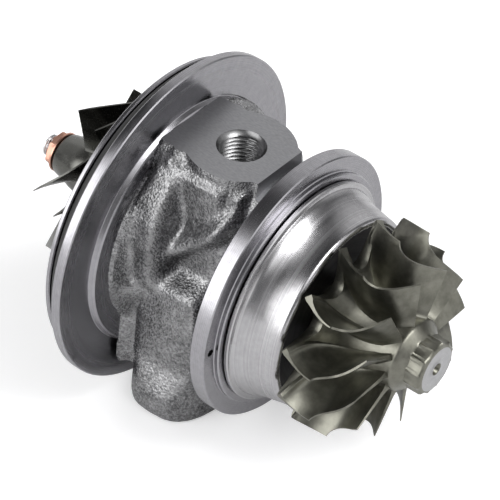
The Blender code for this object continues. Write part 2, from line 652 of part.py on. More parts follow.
def bearing_housing(parent):
    housing = cast_body(parent)
    inlet = (INLET_STATION, 0.0)
    drain = (DRAIN_STATION, 0.0)
    below = -DRAIN_FACE_DEPTH
    wide = DISC_RADIUS
    mills = (
        box_mesh("pad_mill", (HUB_STEP_HEIGHT, -wide, PAD_HEIGHT),
                 (FLANGE_SPACING + 0.002, wide, PAD_HEIGHT + 0.01)),
        box_mesh("foot_mill", (0.0, -wide, below - 0.01), (FLANGE_SPACING, wide, below)),
        clamp_groove_mesh(),
    )
    for mesh in mills:
        combine(housing, cutter(mesh.name, mesh, parent, MILLED_IRON), "DIFFERENCE")
    flanges = machined_flanges_mesh()
    combine(housing, cutter(flanges.name, flanges, parent, MILLED_IRON), "UNION")
    mouth = INLET_MOUTH_RADIUS
    thread_floor = PAD_HEIGHT - INLET_DEPTH
    chamfer = mouth - INLET_BORE_RADIUS
    second_bearing = TURBINE_BEARING_START + BEARING_LENGTH / 2
    first_bearing = COMPRESSOR_BEARING_START + BEARING_LENGTH / 2
    middle_low = bearing_ring_stations()[0] + BEARING_RING_THICKNESS + 2 * SEAT_GAP
    middle_high = bearing_ring_stations()[1] - 2 * SEAT_GAP
    cavity = (BEARING_BORE_END + SEAL_HUB_START) / 2
    cuts = [
        housing_bore_mesh(),
        rod_mesh("inlet_thread", (*inlet, thread_floor), (*inlet, PAD_HEIGHT + 0.001),
                 INLET_BORE_RADIUS, 32),
        rod_mesh("inlet_mouth", (*inlet, PAD_HEIGHT - chamfer), (*inlet, PAD_HEIGHT + chamfer),
                 INLET_BORE_RADIUS, 32, end_radius=2 * mouth - INLET_BORE_RADIUS),
        rod_mesh("inlet_feed", (*inlet, GALLERY_HEIGHT), (*inlet, thread_floor + 0.001),
                 FEED_RADIUS, 16),
        rod_mesh("gallery", (THRUST_SEAT - 0.001, 0, GALLERY_HEIGHT),
                 (second_bearing + GALLERY_RADIUS, 0, GALLERY_HEIGHT), GALLERY_RADIUS, 12),
        rod_mesh("first_bearing_feed", (first_bearing, 0, BEARING_RADIUS - 0.001),
                 (first_bearing, 0, GALLERY_HEIGHT), GALLERY_RADIUS * 0.8, 12),
        rod_mesh("second_bearing_feed", (second_bearing, 0, BEARING_RADIUS - 0.001),
                 (second_bearing, 0, GALLERY_HEIGHT), GALLERY_RADIUS * 0.8, 12),
        rod_mesh("drain_bore", (*drain, below - 0.001), (*drain, -DRAIN_BORE_TOP),
                 DRAIN_BORE_RADIUS, 32),
        box_mesh("bearing_drain", (middle_low, -0.004, -DRAIN_BORE_TOP - 0.006),
                 (middle_high, 0.004, 0.0)),
        rod_mesh("seal_drain", (cavity + 0.002, 0, -0.0095), (middle_high - 0.002, 0, -0.0128),
                 0.0015, 12),
        rod_mesh("dowel_hole", (TURBINE_FACE - DOWEL_HOLE_DEPTH, -dowel_radius(), 0),
                 (TURBINE_FACE + 0.001, -dowel_radius(), 0), DOWEL_HOLE_RADIUS, 16),
    ]
    for side in (-1, 1):
        place = (DRAIN_STATION, side * DRAIN_BOLT_OFFSET)
        cuts.append(rod_mesh("drain_bolt_hole", (*place, below - 0.001),
                             (*place, below + DRAIN_BOLT_DEPTH), DRAIN_BOLT_RADIUS, 24))
        pin = (side * THRUST_PIN_OFFSET, 0.0)
        cuts.append(rod_mesh("thrust_pin_hole", (THRUST_SEAT - 0.001, *pin),
                             (THRUST_SEAT + THRUST_PIN_DEPTH, *pin),
                             THRUST_PIN_RADIUS + SEAT_GAP, 16))
    for mesh in cuts:
        combine(housing, cutter(mesh.name, mesh, parent, MILLED_IRON), "DIFFERENCE")
    settle(housing)
    return housing


def dowel_radius():
    """The dowel hole lies midway between the pilot and the flange's rim."""
    return (PILOT_RADIUS + TURBINE_FLANGE_RADIUS) / 2 - 0.0006


def heat_shield(parent):
    """One pressed sheet: brim, barrel, rolled mouth and a well with a central hole."""
    t = SHIELD_SHEET
    brim, mouth = SHIELD_BRIM_START, SHIELD_MOUTH
    roll = 0.0011
    well = mouth - SHIELD_WELL_DEPTH
    lip = SHIELD_MOUTH_RADIUS - 2 * t
    outer = [(brim, SHIELD_BRIM_RADIUS), (brim + t, SHIELD_BRIM_RADIUS),
             (brim + t, SHIELD_BASE_RADIUS + 0.0006), (brim + t + 0.0012, SHIELD_BASE_RADIUS)]
    outer += [(brim + t + 0.0028, SHIELD_BARREL_RADIUS)]
    outer += arc((mouth - roll, SHIELD_MOUTH_RADIUS - roll), roll, 84, 0, 3)
    outer += arc((mouth - 0.0006, lip + 0.0006), 0.0006, 0, -90, 1)
    outer += [(well + 0.0015, lip - 0.0008), (well, lip - 0.0022), (well, SHIELD_HOLE_RADIUS)]
    inner = [(well - t, SHIELD_HOLE_RADIUS),
             (well - t, SHIELD_MOUTH_RADIUS - t - 0.0004),
             (brim + t + 0.0030, SHIELD_BARREL_RADIUS - t), (brim, SHIELD_BARREL_RADIUS - t)]
    mesh = turned_mesh("heat_shield", outer + inner, SEGMENTS_LARGE)
    return make_object("heat_shield", mesh, STEEL, parent)


def cover_o_ring(parent):
    radius = LAND_RADIUS + COVER_RING_STANDS_OUT - COVER_RING_SECTION
    mesh = o_ring_mesh("cover_o_ring", radius, COVER_RING_SECTION, SEGMENTS_LARGE)
    station = -DISC_THICKNESS - COVER_GROOVE_WIDTH / 2
    return make_object("cover_o_ring", mesh, RUBBER, parent, station)


def insert_groove():
    """Where the insert's O-ring groove starts and ends, and its floor radius."""
    middle = (INSERT_FRONT + INSERT_BACK) / 2
    half = INSERT_RING_SECTION + SEAT_GAP
    floor = INSERT_RADIUS - 2 * INSERT_RING_SECTION - SEAT_GAP
    return middle - half, middle + half, floor


def insert(parent):
    start, end, floor = insert_groove()
    bore = SLEEVE_RADIUS + PISTON_RING_WIDTH / 2
    mesh = turned_mesh("insert", [
        (INSERT_CENTRE_FACE, bore), (INSERT_CENTRE_FACE, INSERT_CENTRE_RADIUS - 0.0012),
        (INSERT_CENTRE_FACE + 0.0012, INSERT_CENTRE_RADIUS),
        (INSERT_FRONT, INSERT_CENTRE_RADIUS), (INSERT_FRONT, INSERT_RADIUS),
        (start, INSERT_RADIUS), (start, floor), (end, floor), (end, INSERT_RADIUS),
        (INSERT_BACK, INSERT_RADIUS), (INSERT_BACK, COLLAR_RADIUS + 0.0012),
        (collar_start() - RUN_GAP, COLLAR_RADIUS + 0.0012), (collar_start() - RUN_GAP, bore),
    ], SEGMENTS_MEDIUM)
    return make_object("insert", mesh, ALUMINIUM, parent)


def insert_o_ring(parent):
    start, end, _ = insert_groove()
    mesh = o_ring_mesh("insert_o_ring", INSERT_RADIUS - INSERT_RING_SECTION,
                       INSERT_RING_SECTION, SEGMENTS_MEDIUM)
    return make_object("insert_o_ring", mesh, RUBBER, parent, (start + end) / 2)


def insert_snap_ring(parent):
    outer = INSERT_BORE_RADIUS + SNAP_RING_BITE
    inner = outer - SNAP_RING_WIDTH
    end = INSERT_FRONT - SEAT_GAP
    start = end - SNAP_RING_THICKNESS
    mesh = turned_mesh("insert_snap_ring",
                       [(start, inner), (start, outer), (end, outer), (end, inner)],
                       SEGMENTS_SMALL, SNAP_RING_OPENING)
    return make_object("insert_snap_ring", mesh, STEEL, parent)


def collar_start():
    return THRUST_BEARING_FRONT - RUN_GAP - COLLAR_THICKNESS


def oil_deflector(parent):
    """A thin plate with its lower edge turned towards the drain."""
    start, end = DEFLECTOR_FRONT, DEFLECTOR_FRONT + DEFLECTOR_THICKNESS
    hole = COLLAR_RADIUS + 2 * RUN_GAP
    mesh = turned_mesh("oil_deflector", [
        (start, hole), (start, THRUST_BEARING_RADIUS), (end, THRUST_BEARING_RADIUS), (end, hole),
    ], SEGMENTS_MEDIUM)
    deflector = make_object("oil_deflector", mesh, STEEL, parent)
    reach = THRUST_BEARING_RADIUS
    chord = box_mesh("deflector_chord", (start - 0.001, -reach - 0.001, -reach - 0.001),
                     (end + 0.001, reach + 0.001, -THRUST_BEARING_FLAT - 0.002))
    combine(deflector, cutter(chord.name, chord, parent), "DIFFERENCE")
    return deflector


def thrust_bearing(parent):
    start, end = THRUST_BEARING_FRONT, THRUST_BEARING_FRONT + THRUST_BEARING_THICKNESS
    hole = SPACER_RADIUS + RUN_GAP
    reach = THRUST_BEARING_RADIUS
    mesh = turned_mesh("thrust_bearing", [
        (start, hole), (start, reach), (end, reach), (end, hole),
    ], SEGMENTS_MEDIUM)
    bearing = make_object("thrust_bearing", mesh, BRONZE, parent)
    cuts = [box_mesh("thrust_bearing_chord", (start - 0.001, -reach - 0.001, -reach - 0.001),
                     (end + 0.001, reach + 0.001, -THRUST_BEARING_FLAT)),
            rod_mesh("thrust_bearing_feed", (start + 0.0015, 0, GALLERY_HEIGHT),
                     (end + 0.001, 0, GALLERY_HEIGHT), GALLERY_RADIUS, 12)]
    for side in (-1, 1):
        pin = (side * THRUST_PIN_OFFSET, 0.0)
        cuts.append(rod_mesh("thrust_bearing_pin_hole", (start - 0.001, *pin),
                             (end + 0.001, *pin), THRUST_PIN_RADIUS + SEAT_GAP, 16))
    for mesh in cuts:
        combine(bearing, cutter(mesh.name, mesh, parent), "DIFFERENCE")
    return bearing


def thrust_bearing_pins(parent):
    start = THRUST_BEARING_FRONT
    end = THRUST_SEAT + THRUST_PIN_DEPTH - SEAT_GAP
    for number, side in ((1, -1), (2, 1)):
        pin = (side * THRUST_PIN_OFFSET, 0.0)
        name = f"thrust_bearing_pin_{number}"
        mesh = rod_mesh(name, (start, *pin), (end, *pin), THRUST_PIN_RADIUS, 16)
        make_object(name, mesh, STEEL, parent)


def journal_bearing(name, parent, start):
    """A floating bush with a ring of oil holes round its middle."""
    half = BEARING_LENGTH / 2
    c = 0.0004
    inner = JOURNAL_RADIUS + RUN_GAP
    mesh = turned_mesh(name, [
        (-half, inner), (-half, BEARING_RADIUS - c), (-half + c, BEARING_RADIUS),
        (half - c, BEARING_RADIUS), (half, BEARING_RADIUS - c), (half, inner),
    ], SEGMENTS_SMALL)
    bush = make_object(name, mesh, BRONZE, parent, start + half)
    shape = bmesh.new()
    for i in range(BEARING_OIL_HOLES):
        a = 2 * math.pi * (i + 0.5) / BEARING_OIL_HOLES
        out = Vector((0, math.cos(a), math.sin(a)))
        side = out.cross(Vector((1, 0, 0)))
        turns = [2 * math.pi * n / 8 for n in range(8)]
        spokes = [Vector((math.cos(t), 0, 0)) + side * math.sin(t) for t in turns]
        rings = [[out * r + spoke * BEARING_OIL_HOLE_RADIUS for spoke in spokes]
                 for r in (inner - 0.001, BEARING_RADIUS + 0.001)]
        skin_rings(shape, rings)
    holes = cutter(name + "_holes", finish_mesh(shape, name + "_holes"), parent)
    holes.location.x = start + half
    combine(bush, holes, "DIFFERENCE")
    return bush


def bearing_retaining_rings(parent):
    outer = BEARING_BORE_RADIUS + BEARING_RING_BITE
    for number, start in enumerate(bearing_ring_stations(), 1):
        end = start + BEARING_RING_THICKNESS
        name = f"bearing_snap_ring_{number}"
        mesh = turned_mesh(name, [(start, BEARING_RING_INNER), (start, outer), (end, outer),
                                  (end, BEARING_RING_INNER)], 24, 50.0)
        make_object(name, mesh, STEEL, parent)


def piston_ring(name, parent, middle, carrier_radius):
    """A split sealing ring that stands out of its groove towards the housing's bore."""
    outer = carrier_radius + PISTON_RING_WIDTH / 2 - SEAT_GAP
    inner = outer - PISTON_RING_WIDTH
    half = PISTON_RING_THICKNESS / 2
    mesh = turned_mesh(name, [(-half, inner), (-half, outer), (half, outer), (half, inner)],
                       SEGMENTS_SMALL, 6.0)
    return make_object(name, mesh, STEEL, parent, middle)


def ring_groove(middle, carrier_radius):
    """Profile points of a piston-ring groove cut into a round carrier."""
    half = PISTON_RING_THICKNESS / 2 + SEAT_GAP
    floor = carrier_radius - PISTON_RING_WIDTH / 2 - 2 * SEAT_GAP
    return [(middle - half, carrier_radius), (middle - half, floor),
            (middle + half, floor), (middle + half, carrier_radius)]


def rotor_shaft(parent):
    c = 0.0004
    first_end = COMPRESSOR_BEARING_START + BEARING_LENGTH
    relief = JOURNAL_RADIUS - RELIEF_DEPTH
    profile = [
        (SHAFT_END, 0.0), (SHAFT_END, STUB_RADIUS - c), (SHAFT_END + c, STUB_RADIUS),
        (JOURNAL_START, STUB_RADIUS), (JOURNAL_START, JOURNAL_RADIUS - c),
        (JOURNAL_START + c, JOURNAL_RADIUS), (first_end, JOURNAL_RADIUS),
        (first_end + c, relief), (TURBINE_BEARING_START - c, relief),
        (TURBINE_BEARING_START, JOURNAL_RADIUS), (SEAL_HUB_START, JOURNAL_RADIUS),
        (SEAL_HUB_START, SEAL_HUB_RADIUS - c), (SEAL_HUB_START + c, SEAL_HUB_RADIUS),
    ]
    profile += ring_groove(TURBINE_RING_STATION, SEAL_HUB_RADIUS)
    profile += [(SEAL_HUB_END, SEAL_HUB_RADIUS), (SEAL_HUB_END, 0.0)]
    return make_object("rotor_shaft", turned_mesh("rotor_shaft", profile, SEGMENTS_SMALL),
                       STEEL, parent)


def collar_ring_station():
    return (INSERT_FRONT + INSERT_BACK) / 2


def thrust_sleeve(parent):
    """Spacer, thrust collar and sealing sleeve in one, clamped behind the wheel."""
    bore = STUB_RADIUS + SEAT_GAP
    start = collar_start()
    profile = [(SLEEVE_END, bore), (SLEEVE_END, SLEEVE_RADIUS)]
    profile += ring_groove(collar_ring_station(), SLEEVE_RADIUS)
    profile += [
        (start, SLEEVE_RADIUS), (start, COLLAR_RADIUS),
        (start + COLLAR_THICKNESS, COLLAR_RADIUS), (start + COLLAR_THICKNESS, SPACER_RADIUS),
        (THRUST_RING_START - SEAT_GAP, SPACER_RADIUS), (THRUST_RING_START - SEAT_GAP, bore),
    ]
    return make_object("thrust_sleeve", turned_mesh("thrust_sleeve", profile, SEGMENTS_SMALL),
                       STEEL, parent)


def thrust_ring(parent):
    bore = STUB_RADIUS + SEAT_GAP
    start, end = THRUST_RING_START, THRUST_RING_START + COLLAR_THICKNESS
    mesh = turned_mesh("thrust_ring", [(start, bore), (start, COLLAR_RADIUS),
                                       (end, COLLAR_RADIUS), (end, bore)], SEGMENTS_SMALL)
    return make_object("thrust_ring", mesh, STEEL, parent)


def corner_curve(start, end, power, t):
    """A point on a superellipse quarter from start, leaving along the radius, to end.

    Both are (station, radius) points and t runs from 0 to 1. A power over 2 draws the
    curve closer to the corner that it passes.
    """
    swing = math.pi / 2 * t
    inward = math.sin(swing) ** (2 / power)
    forward = 1 - math.cos(swing) ** (2 / power)
    return (start[0] + (end[0] - start[0]) * forward, start[1] + (end[1] - start[1]) * inward)


def turbine_hub_at(t):
    """Hub line of the turbine wheel, from the disc's rim to the end of the blades."""
    return corner_curve((TURBINE_DISC_FRONT, TURBINE_TIP_RADIUS),
                        (EXDUCER_STATION, TURBINE_HUB_RADIUS), TURBINE_HUB_POWER, t)


def turbine_tip_at(t):
    """Outer line of the turbine blades, from the inducer's corner to the exducer."""
    corner = TURBINE_DISC_FRONT + INDUCER_WIDTH
    return corner_curve((corner, TURBINE_TIP_RADIUS),
                        (corner + EXDUCER_LENGTH, EXDUCER_RADIUS), 2.0, t)


def turbine_turn(_, x):
    """Blade angle about X: a slight lean in the inducer and a strong sweep in the exducer."""
    corner = TURBINE_DISC_FRONT + INDUCER_WIDTH
    if x < corner:
        return math.radians(6.5) * (1 - ((corner - x) / INDUCER_WIDTH) ** 2)
    return math.radians(6.5 - 21.5 * ((x - corner) / EXDUCER_LENGTH) ** 2)


def compressor_hub_at(t):
    """Hub line of the compressor wheel, from the eye to the rim of its disc."""
    swing = math.pi / 2 * t
    return (EYE_STATION + EYE_DEPTH * math.sin(swing),
            COMPRESSOR_TIP_RADIUS
            - (COMPRESSOR_TIP_RADIUS - COMPRESSOR_HUB_RADIUS) * math.cos(swing))


def compressor_tip_at(t):
    swing = math.pi / 2 * t
    return (EYE_STATION + (EYE_DEPTH - COMPRESSOR_TIP_WIDTH) * math.sin(swing),
            COMPRESSOR_TIP_RADIUS - (COMPRESSOR_TIP_RADIUS - EYE_RADIUS) * math.cos(swing))


def compressor_turn(t, _):
    """Blade angle about X: curved at the eye to meet the air, swept back at the rim."""
    return -math.radians(34 * (1 - (1 - t) ** 2) + 20 * t ** 2)


def add_blade(shape, hub_at, tip_at, turn_at, root, tip, start, phase, steps, spans):
    """One blade as a closed solid: a ruled surface thickened along its normals."""
    sink = 0.13
    centres = []
    for i in range(steps + 1):
        t = start + (1 - start) * i / steps
        hub, edge = hub_at(t), tip_at(t)
        row = []
        for j in range(spans + 1):
            v = -sink + (1 + sink) * j / spans
            x = hub[0] + (edge[0] - hub[0]) * v
            r = hub[1] + (edge[1] - hub[1]) * v
            a = phase + turn_at(t, x)
            row.append(Vector((x, r * math.cos(a), r * math.sin(a))))
        centres.append(row)
    sides = ([], [])
    for i, row in enumerate(centres):
        for j, point in enumerate(row):
            before, after = centres[max(i - 1, 0)], centres[min(i + 1, steps)]
            along = after[j] - before[j]
            up = row[min(j + 1, spans)] - row[max(j - 1, 0)]
            normal = along.cross(up).normalized()
            taper = 0.6 if i in (0, steps) else 1.0
            half = (root + (tip - root) * max(0.0, j / spans)) / 2 * taper
            sides[0].append(point + normal * half)
            sides[1].append(point - normal * half)
    width = spans + 1
    rows = [[shape.verts.new(p) for p in side] for side in sides]
    count = len(rows[0])
    border = ([i * width for i in range(steps + 1)]
              + [steps * width + j for j in range(1, width)]
              + [i * width + spans for i in range(steps - 1, -1, -1)]
              + [j for j in range(spans - 1, 0, -1)])
    for k in range(count):
        i, j = divmod(k, width)
        if i < steps and j < spans:
            a, b, c, d = k, k + 1, k + width + 1, k + width
            shape.faces.new([rows[0][n] for n in (a, b, c, d)])
            shape.faces.new([rows[1][n] for n in (d, c, b, a)])
    for n, m in zip(border, border[1:] + border[:1]):
        shape.faces.new((rows[0][n], rows[0][m], rows[1][m], rows[1][n]))


def scallop(share):
    """Rim radius of the turbine disc, cut back between the blades.

    The share is the distance from a blade as a part of the blades' pitch, from 0 to 1.
    """
    near = abs(1 - 2 * share)
    rim = TURBINE_TIP_RADIUS - TURBINE_RIM_SETBACK
    return SCALLOP_RADIUS + (rim - SCALLOP_RADIUS) * near ** SCALLOP_POWER


def turbine_hub_mesh():
    """The wheel without blades, as rings whose radius may change round the axis."""
    shares = [share for _ in range(TURBINE_BLADES) for share in BLADE_PITCH_SHARES]
    count = len(shares)
    pitch = 2 * math.pi / TURBINE_BLADES
    first = math.radians(TURBINE_FIRST_BLADE)
    angles = [first + pitch * (i // len(BLADE_PITCH_SHARES) + share)
              for i, share in enumerate(shares)]
    rims = [scallop(share) for share in shares]
    back_at_boss = TURBINE_BACK - 0.0006
    rings = [
        [(WHEEL_BOSS_START, SEAL_HUB_RADIUS)] * count,
        [(back_at_boss, SEAL_HUB_RADIUS)] * count,
        [(TURBINE_BACK, SCALLOP_RADIUS - 0.001)] * count,
        [(TURBINE_BACK, rim) for rim in rims],
        [(hub_station(rim), rim) for rim in rims],
    ]
    inner = [0.35 * rim + 0.65 * SCALLOP_RADIUS - 0.0013 for rim in rims]
    rings.append([(hub_station(r), r) for r in inner])
    for t in (0.52, 0.66, 0.82, 1.0):
        rings.append([turbine_hub_at(t)] * count)
    neck_end = EXDUCER_STATION + NECK_LENGTH
    rings.append([(EXDUCER_STATION + 0.0008, TURBINE_HUB_RADIUS)] * count)
    rings.append([(neck_end, SOCKET_RADIUS - 0.0003)] * count)
    lobes = [SOCKET_RADIUS - SOCKET_LOBE_DEPTH * (1 + math.cos(SOCKET_LOBES * (a - first))) / 2
             for a in angles]
    rings.append([(neck_end + 0.0003, r) for r in lobes])
    rings.append([(neck_end + SOCKET_LENGTH, r) for r in lobes])
    rings.append([(TURBINE_NOSE_END, SOCKET_RADIUS - 0.0013)] * count)
    rings.append([(TURBINE_NOSE_END, CENTRE_DRILL_RADIUS)] * count)
    rings.append([(TURBINE_NOSE_END - 0.0014, CENTRE_DRILL_RADIUS * 0.35)] * count)
    placed = [[(x, r * math.cos(a), r * math.sin(a)) for (x, r), a in zip(ring, angles)]
              for ring in rings]
    shape = bmesh.new()
    skin_rings(shape, placed)
    return finish_mesh(shape, "turbine_wheel")


def hub_station(radius):
    """Station of the turbine's hub line at a given radius."""
    reach = TURBINE_TIP_RADIUS - TURBINE_HUB_RADIUS
    q = min(max((TURBINE_TIP_RADIUS - radius) / reach, 0.0), 1.0)
    length = EXDUCER_STATION - TURBINE_DISC_FRONT
    return EXDUCER_STATION - length * (1 - q ** TURBINE_HUB_POWER) ** (1 / TURBINE_HUB_POWER)


def turbine_wheel(parent):
    wheel = make_object("turbine_wheel", turbine_hub_mesh(), SUPERALLOY, parent)
    shape = bmesh.new()
    for n in range(TURBINE_BLADES):
        phase = 2 * math.pi * n / TURBINE_BLADES + math.radians(TURBINE_FIRST_BLADE)
        add_blade(shape, turbine_hub_at, turbine_tip_at, turbine_turn, TURBINE_BLADE_ROOT,
                  TURBINE_BLADE_TIP, 0.0, phase, 6, 2)
    blades = cutter("turbine_blades", finish_mesh(shape, "turbine_blades"), parent)
    combine(wheel, blades, "UNION")
    return wheel


def compressor_wheel(parent):
    bore = STUB_RADIUS + SEAT_GAP
    hub = [(WHEEL_BACK, bore), (WHEEL_BACK, COMPRESSOR_HUB_RADIUS),
           (WHEEL_BACK - COMPRESSOR_DISC_CONE, COMPRESSOR_TIP_RADIUS)]
    hub += [compressor_hub_at(1 - i / 6) for i in range(7)]
    hub += [(COMPRESSOR_NOSE_END + 0.0008, COMPRESSOR_NOSE_RADIUS),
            (COMPRESSOR_NOSE_END, COMPRESSOR_NOSE_RADIUS - 0.0006), (COMPRESSOR_NOSE_END, bore)]
    mesh = turned_mesh("compressor_wheel", hub, SEGMENTS_MEDIUM)
    wheel = make_object("compressor_wheel", mesh, ALUMINIUM, parent)
    shape = bmesh.new()
    for n in range(2 * COMPRESSOR_FULL_BLADES):
        phase = math.pi * n / COMPRESSOR_FULL_BLADES + math.radians(COMPRESSOR_FIRST_BLADE)
        start = SPLITTER_START if n % 2 else 0.0
        add_blade(shape, compressor_hub_at, compressor_tip_at, compressor_turn,
                  COMPRESSOR_BLADE_ROOT, COMPRESSOR_BLADE_TIP, start, phase,
                  5 if n % 2 else 7, 2)
    blades = cutter("compressor_blades", finish_mesh(shape, "compressor_blades"), parent)
    combine(wheel, blades, "UNION")
    return wheel


def lock_nut(parent):
    """A hexagon nut with a broad flange, its flange against the wheel's nose."""
    seat = COMPRESSOR_NOSE_END - SEAT_GAP
    bore = STUB_RADIUS + SEAT_GAP
    rim = seat - NUT_FLANGE_THICKNESS
    shoulder = rim - NUT_CONE_THICKNESS
    end = shoulder - NUT_HEX_LENGTH
    nut = make_object("lock_nut", turned_mesh("lock_nut", [
        (seat, bore), (seat, NUT_FLANGE_RADIUS), (rim, NUT_FLANGE_RADIUS),
        (shoulder, NUT_HEX_RADIUS), (end + 0.0006, NUT_HEX_RADIUS),
        (end, NUT_HEX_RADIUS * 0.86), (end, bore),
    ], SEGMENTS_SMALL), COPPER_PLATE, parent)
    shape = bmesh.new()
    angles = [math.pi / 3 * i + math.radians(8) for i in range(6)]
    outer = [(NUT_HEX_RADIUS * math.cos(a), NUT_HEX_RADIUS * math.sin(a)) for a in angles]
    hexagon = [[(x, y, z) for y, z in outer] for x in (end - 0.001, seat + 0.001)]
    skin_rings(shape, hexagon)
    keep = cutter("nut_hexagon", finish_mesh(shape, "nut_hexagon"), parent)
    base = cutter("nut_flange_keep", turned_mesh("nut_flange_keep", [
        (seat + 0.001, 0.0), (seat + 0.001, NUT_FLANGE_RADIUS + 0.001),
        (rim, NUT_FLANGE_RADIUS + 0.001), (shoulder, NUT_HEX_RADIUS * 0.9),
        (shoulder, 0.0)], SEGMENTS_SMALL), parent)
    combine(keep, base, "UNION")
    combine(nut, keep, "INTERSECT")
    return nut


def build():
    cartridge = empty("cartridge", station=-MIDDLE)
    rotor = empty("rotor", cartridge)
    bearing_housing(cartridge)
    heat_shield(cartridge)
    cover_o_ring(cartridge)
    insert(cartridge)
    insert_o_ring(cartridge)
    insert_snap_ring(cartridge)
    oil_deflector(cartridge)
    thrust_bearing(cartridge)
    thrust_bearing_pins(cartridge)
    bearing_retaining_rings(cartridge)
    piston_ring("compressor_piston_ring", cartridge, collar_ring_station(), SLEEVE_RADIUS)
    piston_ring("turbine_piston_ring", cartridge, TURBINE_RING_STATION, SEAL_HUB_RADIUS)
    journal_bearing("journal_bearing_compressor", cartridge, COMPRESSOR_BEARING_START)
    journal_bearing("journal_bearing_turbine", cartridge, TURBINE_BEARING_START)
    rotor_shaft(rotor)
    turbine_wheel(rotor)
    compressor_wheel(rotor)
    thrust_sleeve(rotor)
    thrust_ring(rotor)
    lock_nut(rotor)


build()
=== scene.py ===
"""Turbocharger cartridge, dressed for its picture: housing, heat shield and rotor on a pale floor."""

import math

import bmesh
import bpy
import numpy as np
from mathutils import Matrix, Vector, noise
from mathutils.bvhtree import BVHTree


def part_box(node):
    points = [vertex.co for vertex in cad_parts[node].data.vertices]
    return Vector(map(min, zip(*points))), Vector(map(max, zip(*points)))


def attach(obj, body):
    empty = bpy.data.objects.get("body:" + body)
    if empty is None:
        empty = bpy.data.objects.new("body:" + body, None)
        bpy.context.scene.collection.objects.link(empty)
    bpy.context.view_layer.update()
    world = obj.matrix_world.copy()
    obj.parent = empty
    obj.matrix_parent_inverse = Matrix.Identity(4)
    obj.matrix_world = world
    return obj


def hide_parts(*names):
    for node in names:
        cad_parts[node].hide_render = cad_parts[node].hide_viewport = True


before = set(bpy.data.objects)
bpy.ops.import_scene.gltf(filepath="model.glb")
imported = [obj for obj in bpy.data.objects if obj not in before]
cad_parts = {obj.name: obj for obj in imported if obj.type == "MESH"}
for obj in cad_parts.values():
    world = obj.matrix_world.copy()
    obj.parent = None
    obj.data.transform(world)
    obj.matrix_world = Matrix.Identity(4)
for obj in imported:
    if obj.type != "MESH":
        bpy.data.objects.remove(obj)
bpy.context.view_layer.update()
bpy.context.scene.view_settings.view_transform = "Standard"


# The camera stands over the turbine end with a long lens, so the flanges look almost round.
# Its three directions and its place are in the frame of the cartridge.
def placed(name, data):
    """A new object in the scene, made of a mesh, a lamp or a camera."""
    made = bpy.data.objects.new(name, data)
    bpy.context.scene.collection.objects.link(made)
    return made


camera = placed("camera", bpy.data.cameras.new("camera"))
camera.data.lens = 235.0
camera.data.sensor_width = 36.0
camera.data.clip_start = 0.05
camera_place = Matrix.Translation((0.3705, -0.5431, 0.5606))
camera_right = Vector((0.7824, 0.6167, 0.0866)).normalized()
camera_back = Vector((0.4261, -0.6315, 0.6478))
camera_back = (camera_back - camera_right * camera_back.dot(camera_right)).normalized()
camera_up = camera_back.cross(camera_right)
camera_axes = Matrix((camera_right, camera_up, camera_back)).transposed()
camera.matrix_world = camera_place @ camera_axes.to_4x4()
bpy.context.scene.camera = camera

# The table top is pale and matt. The cartridge leans on it: the edge of its large flange and
# the foot of the drain column touch, so the table tilts in the frame of the cartridge.
TABLE_NORMAL = Vector((-0.110, 0.0, 0.994)).normalized()
TABLE_DROP = 0.04530
TABLE_HALF = 4.0
TABLE_GLOW = 0.36


class Finish:
    """The finish of one piece: a metallic material, and short ways to feed its shader."""

    def __init__(self, name, roughness=0.5, metallic=1.0):
        self.material = bpy.data.materials.new(name)
        self.material.use_nodes = True
        self.tree = self.material.node_tree
        self.shader = self.tree.nodes["Principled BSDF"]
        self.shader.inputs["Roughness"].default_value = roughness
        self.shader.inputs["Metallic"].default_value = metallic
        self.where = self.add("ShaderNodeTexCoord").outputs["Object"]

    def add(self, kind, **settings):
        """A node, with its properties and its inputs set by name."""
        node = self.tree.nodes.new(kind)
        for key, value in settings.items():
            if hasattr(node, key):
                setattr(node, key, value)
            else:
                node.inputs[key.replace("_", " ")].default_value = value
        return node

    def link(self, source, target):
        self.tree.links.new(source, target)

    def grain(self, scale, detail, roughness=0.5, place=None):
        """Noise all through the piece, at the piece's own coordinates or at another place."""
        node = self.add("ShaderNodeTexNoise", Scale=scale, Detail=detail, Roughness=roughness)
        self.link(self.where if place is None else place, node.inputs["Vector"])
        return node.outputs[0]

    def blend(self, first, share, second):
        """One value by its share, and another by the rest."""
        rest = self.add("ShaderNodeMath", operation="MULTIPLY")
        rest.inputs[1].default_value = 1 - share
        self.link(second, rest.inputs[0])
        total = self.add("ShaderNodeMath", operation="MULTIPLY_ADD")
        total.inputs[1].default_value = share
        self.link(first, total.inputs[0])
        self.link(rest.outputs[0], total.inputs[2])
        return total.outputs[0]

    def tone(self, value, dark, light, low=0.0, high=1.0):
        """The colour goes from dark to light as a value goes from low to high."""
        ramp = self.add("ShaderNodeValToRGB")
        stops = ramp.color_ramp.elements
        stops[0].position, stops[0].color = low, (*dark, 1)
        stops[1].position, stops[1].color = high, (*light, 1)
        self.link(value, ramp.inputs[0])
        self.link(ramp.outputs[0], self.shader.inputs["Base Color"])

    def polish(self, value, low, high):
        """The roughness goes from low to high as a value goes from 0 to 1."""
        spread = self.add("ShaderNodeMapRange", To_Min=low, To_Max=high)
        self.link(value, spread.inputs["Value"])
        self.link(spread.outputs[0], self.shader.inputs["Roughness"])

    def emboss(self, value, strength, depth):
        """The surface rises and falls with a value, by a depth in metres."""
        bump = self.add("ShaderNodeBump", Strength=strength, Distance=depth)
        self.link(value, bump.inputs["Height"])
        self.link(bump.outputs[0], self.shader.inputs["Normal"])


def mesh_of(shape, name):
    """A mesh with the faces of a bmesh, which is freed."""
    made = bpy.data.meshes.new(name)
    shape.to_mesh(made)
    shape.free()
    return made


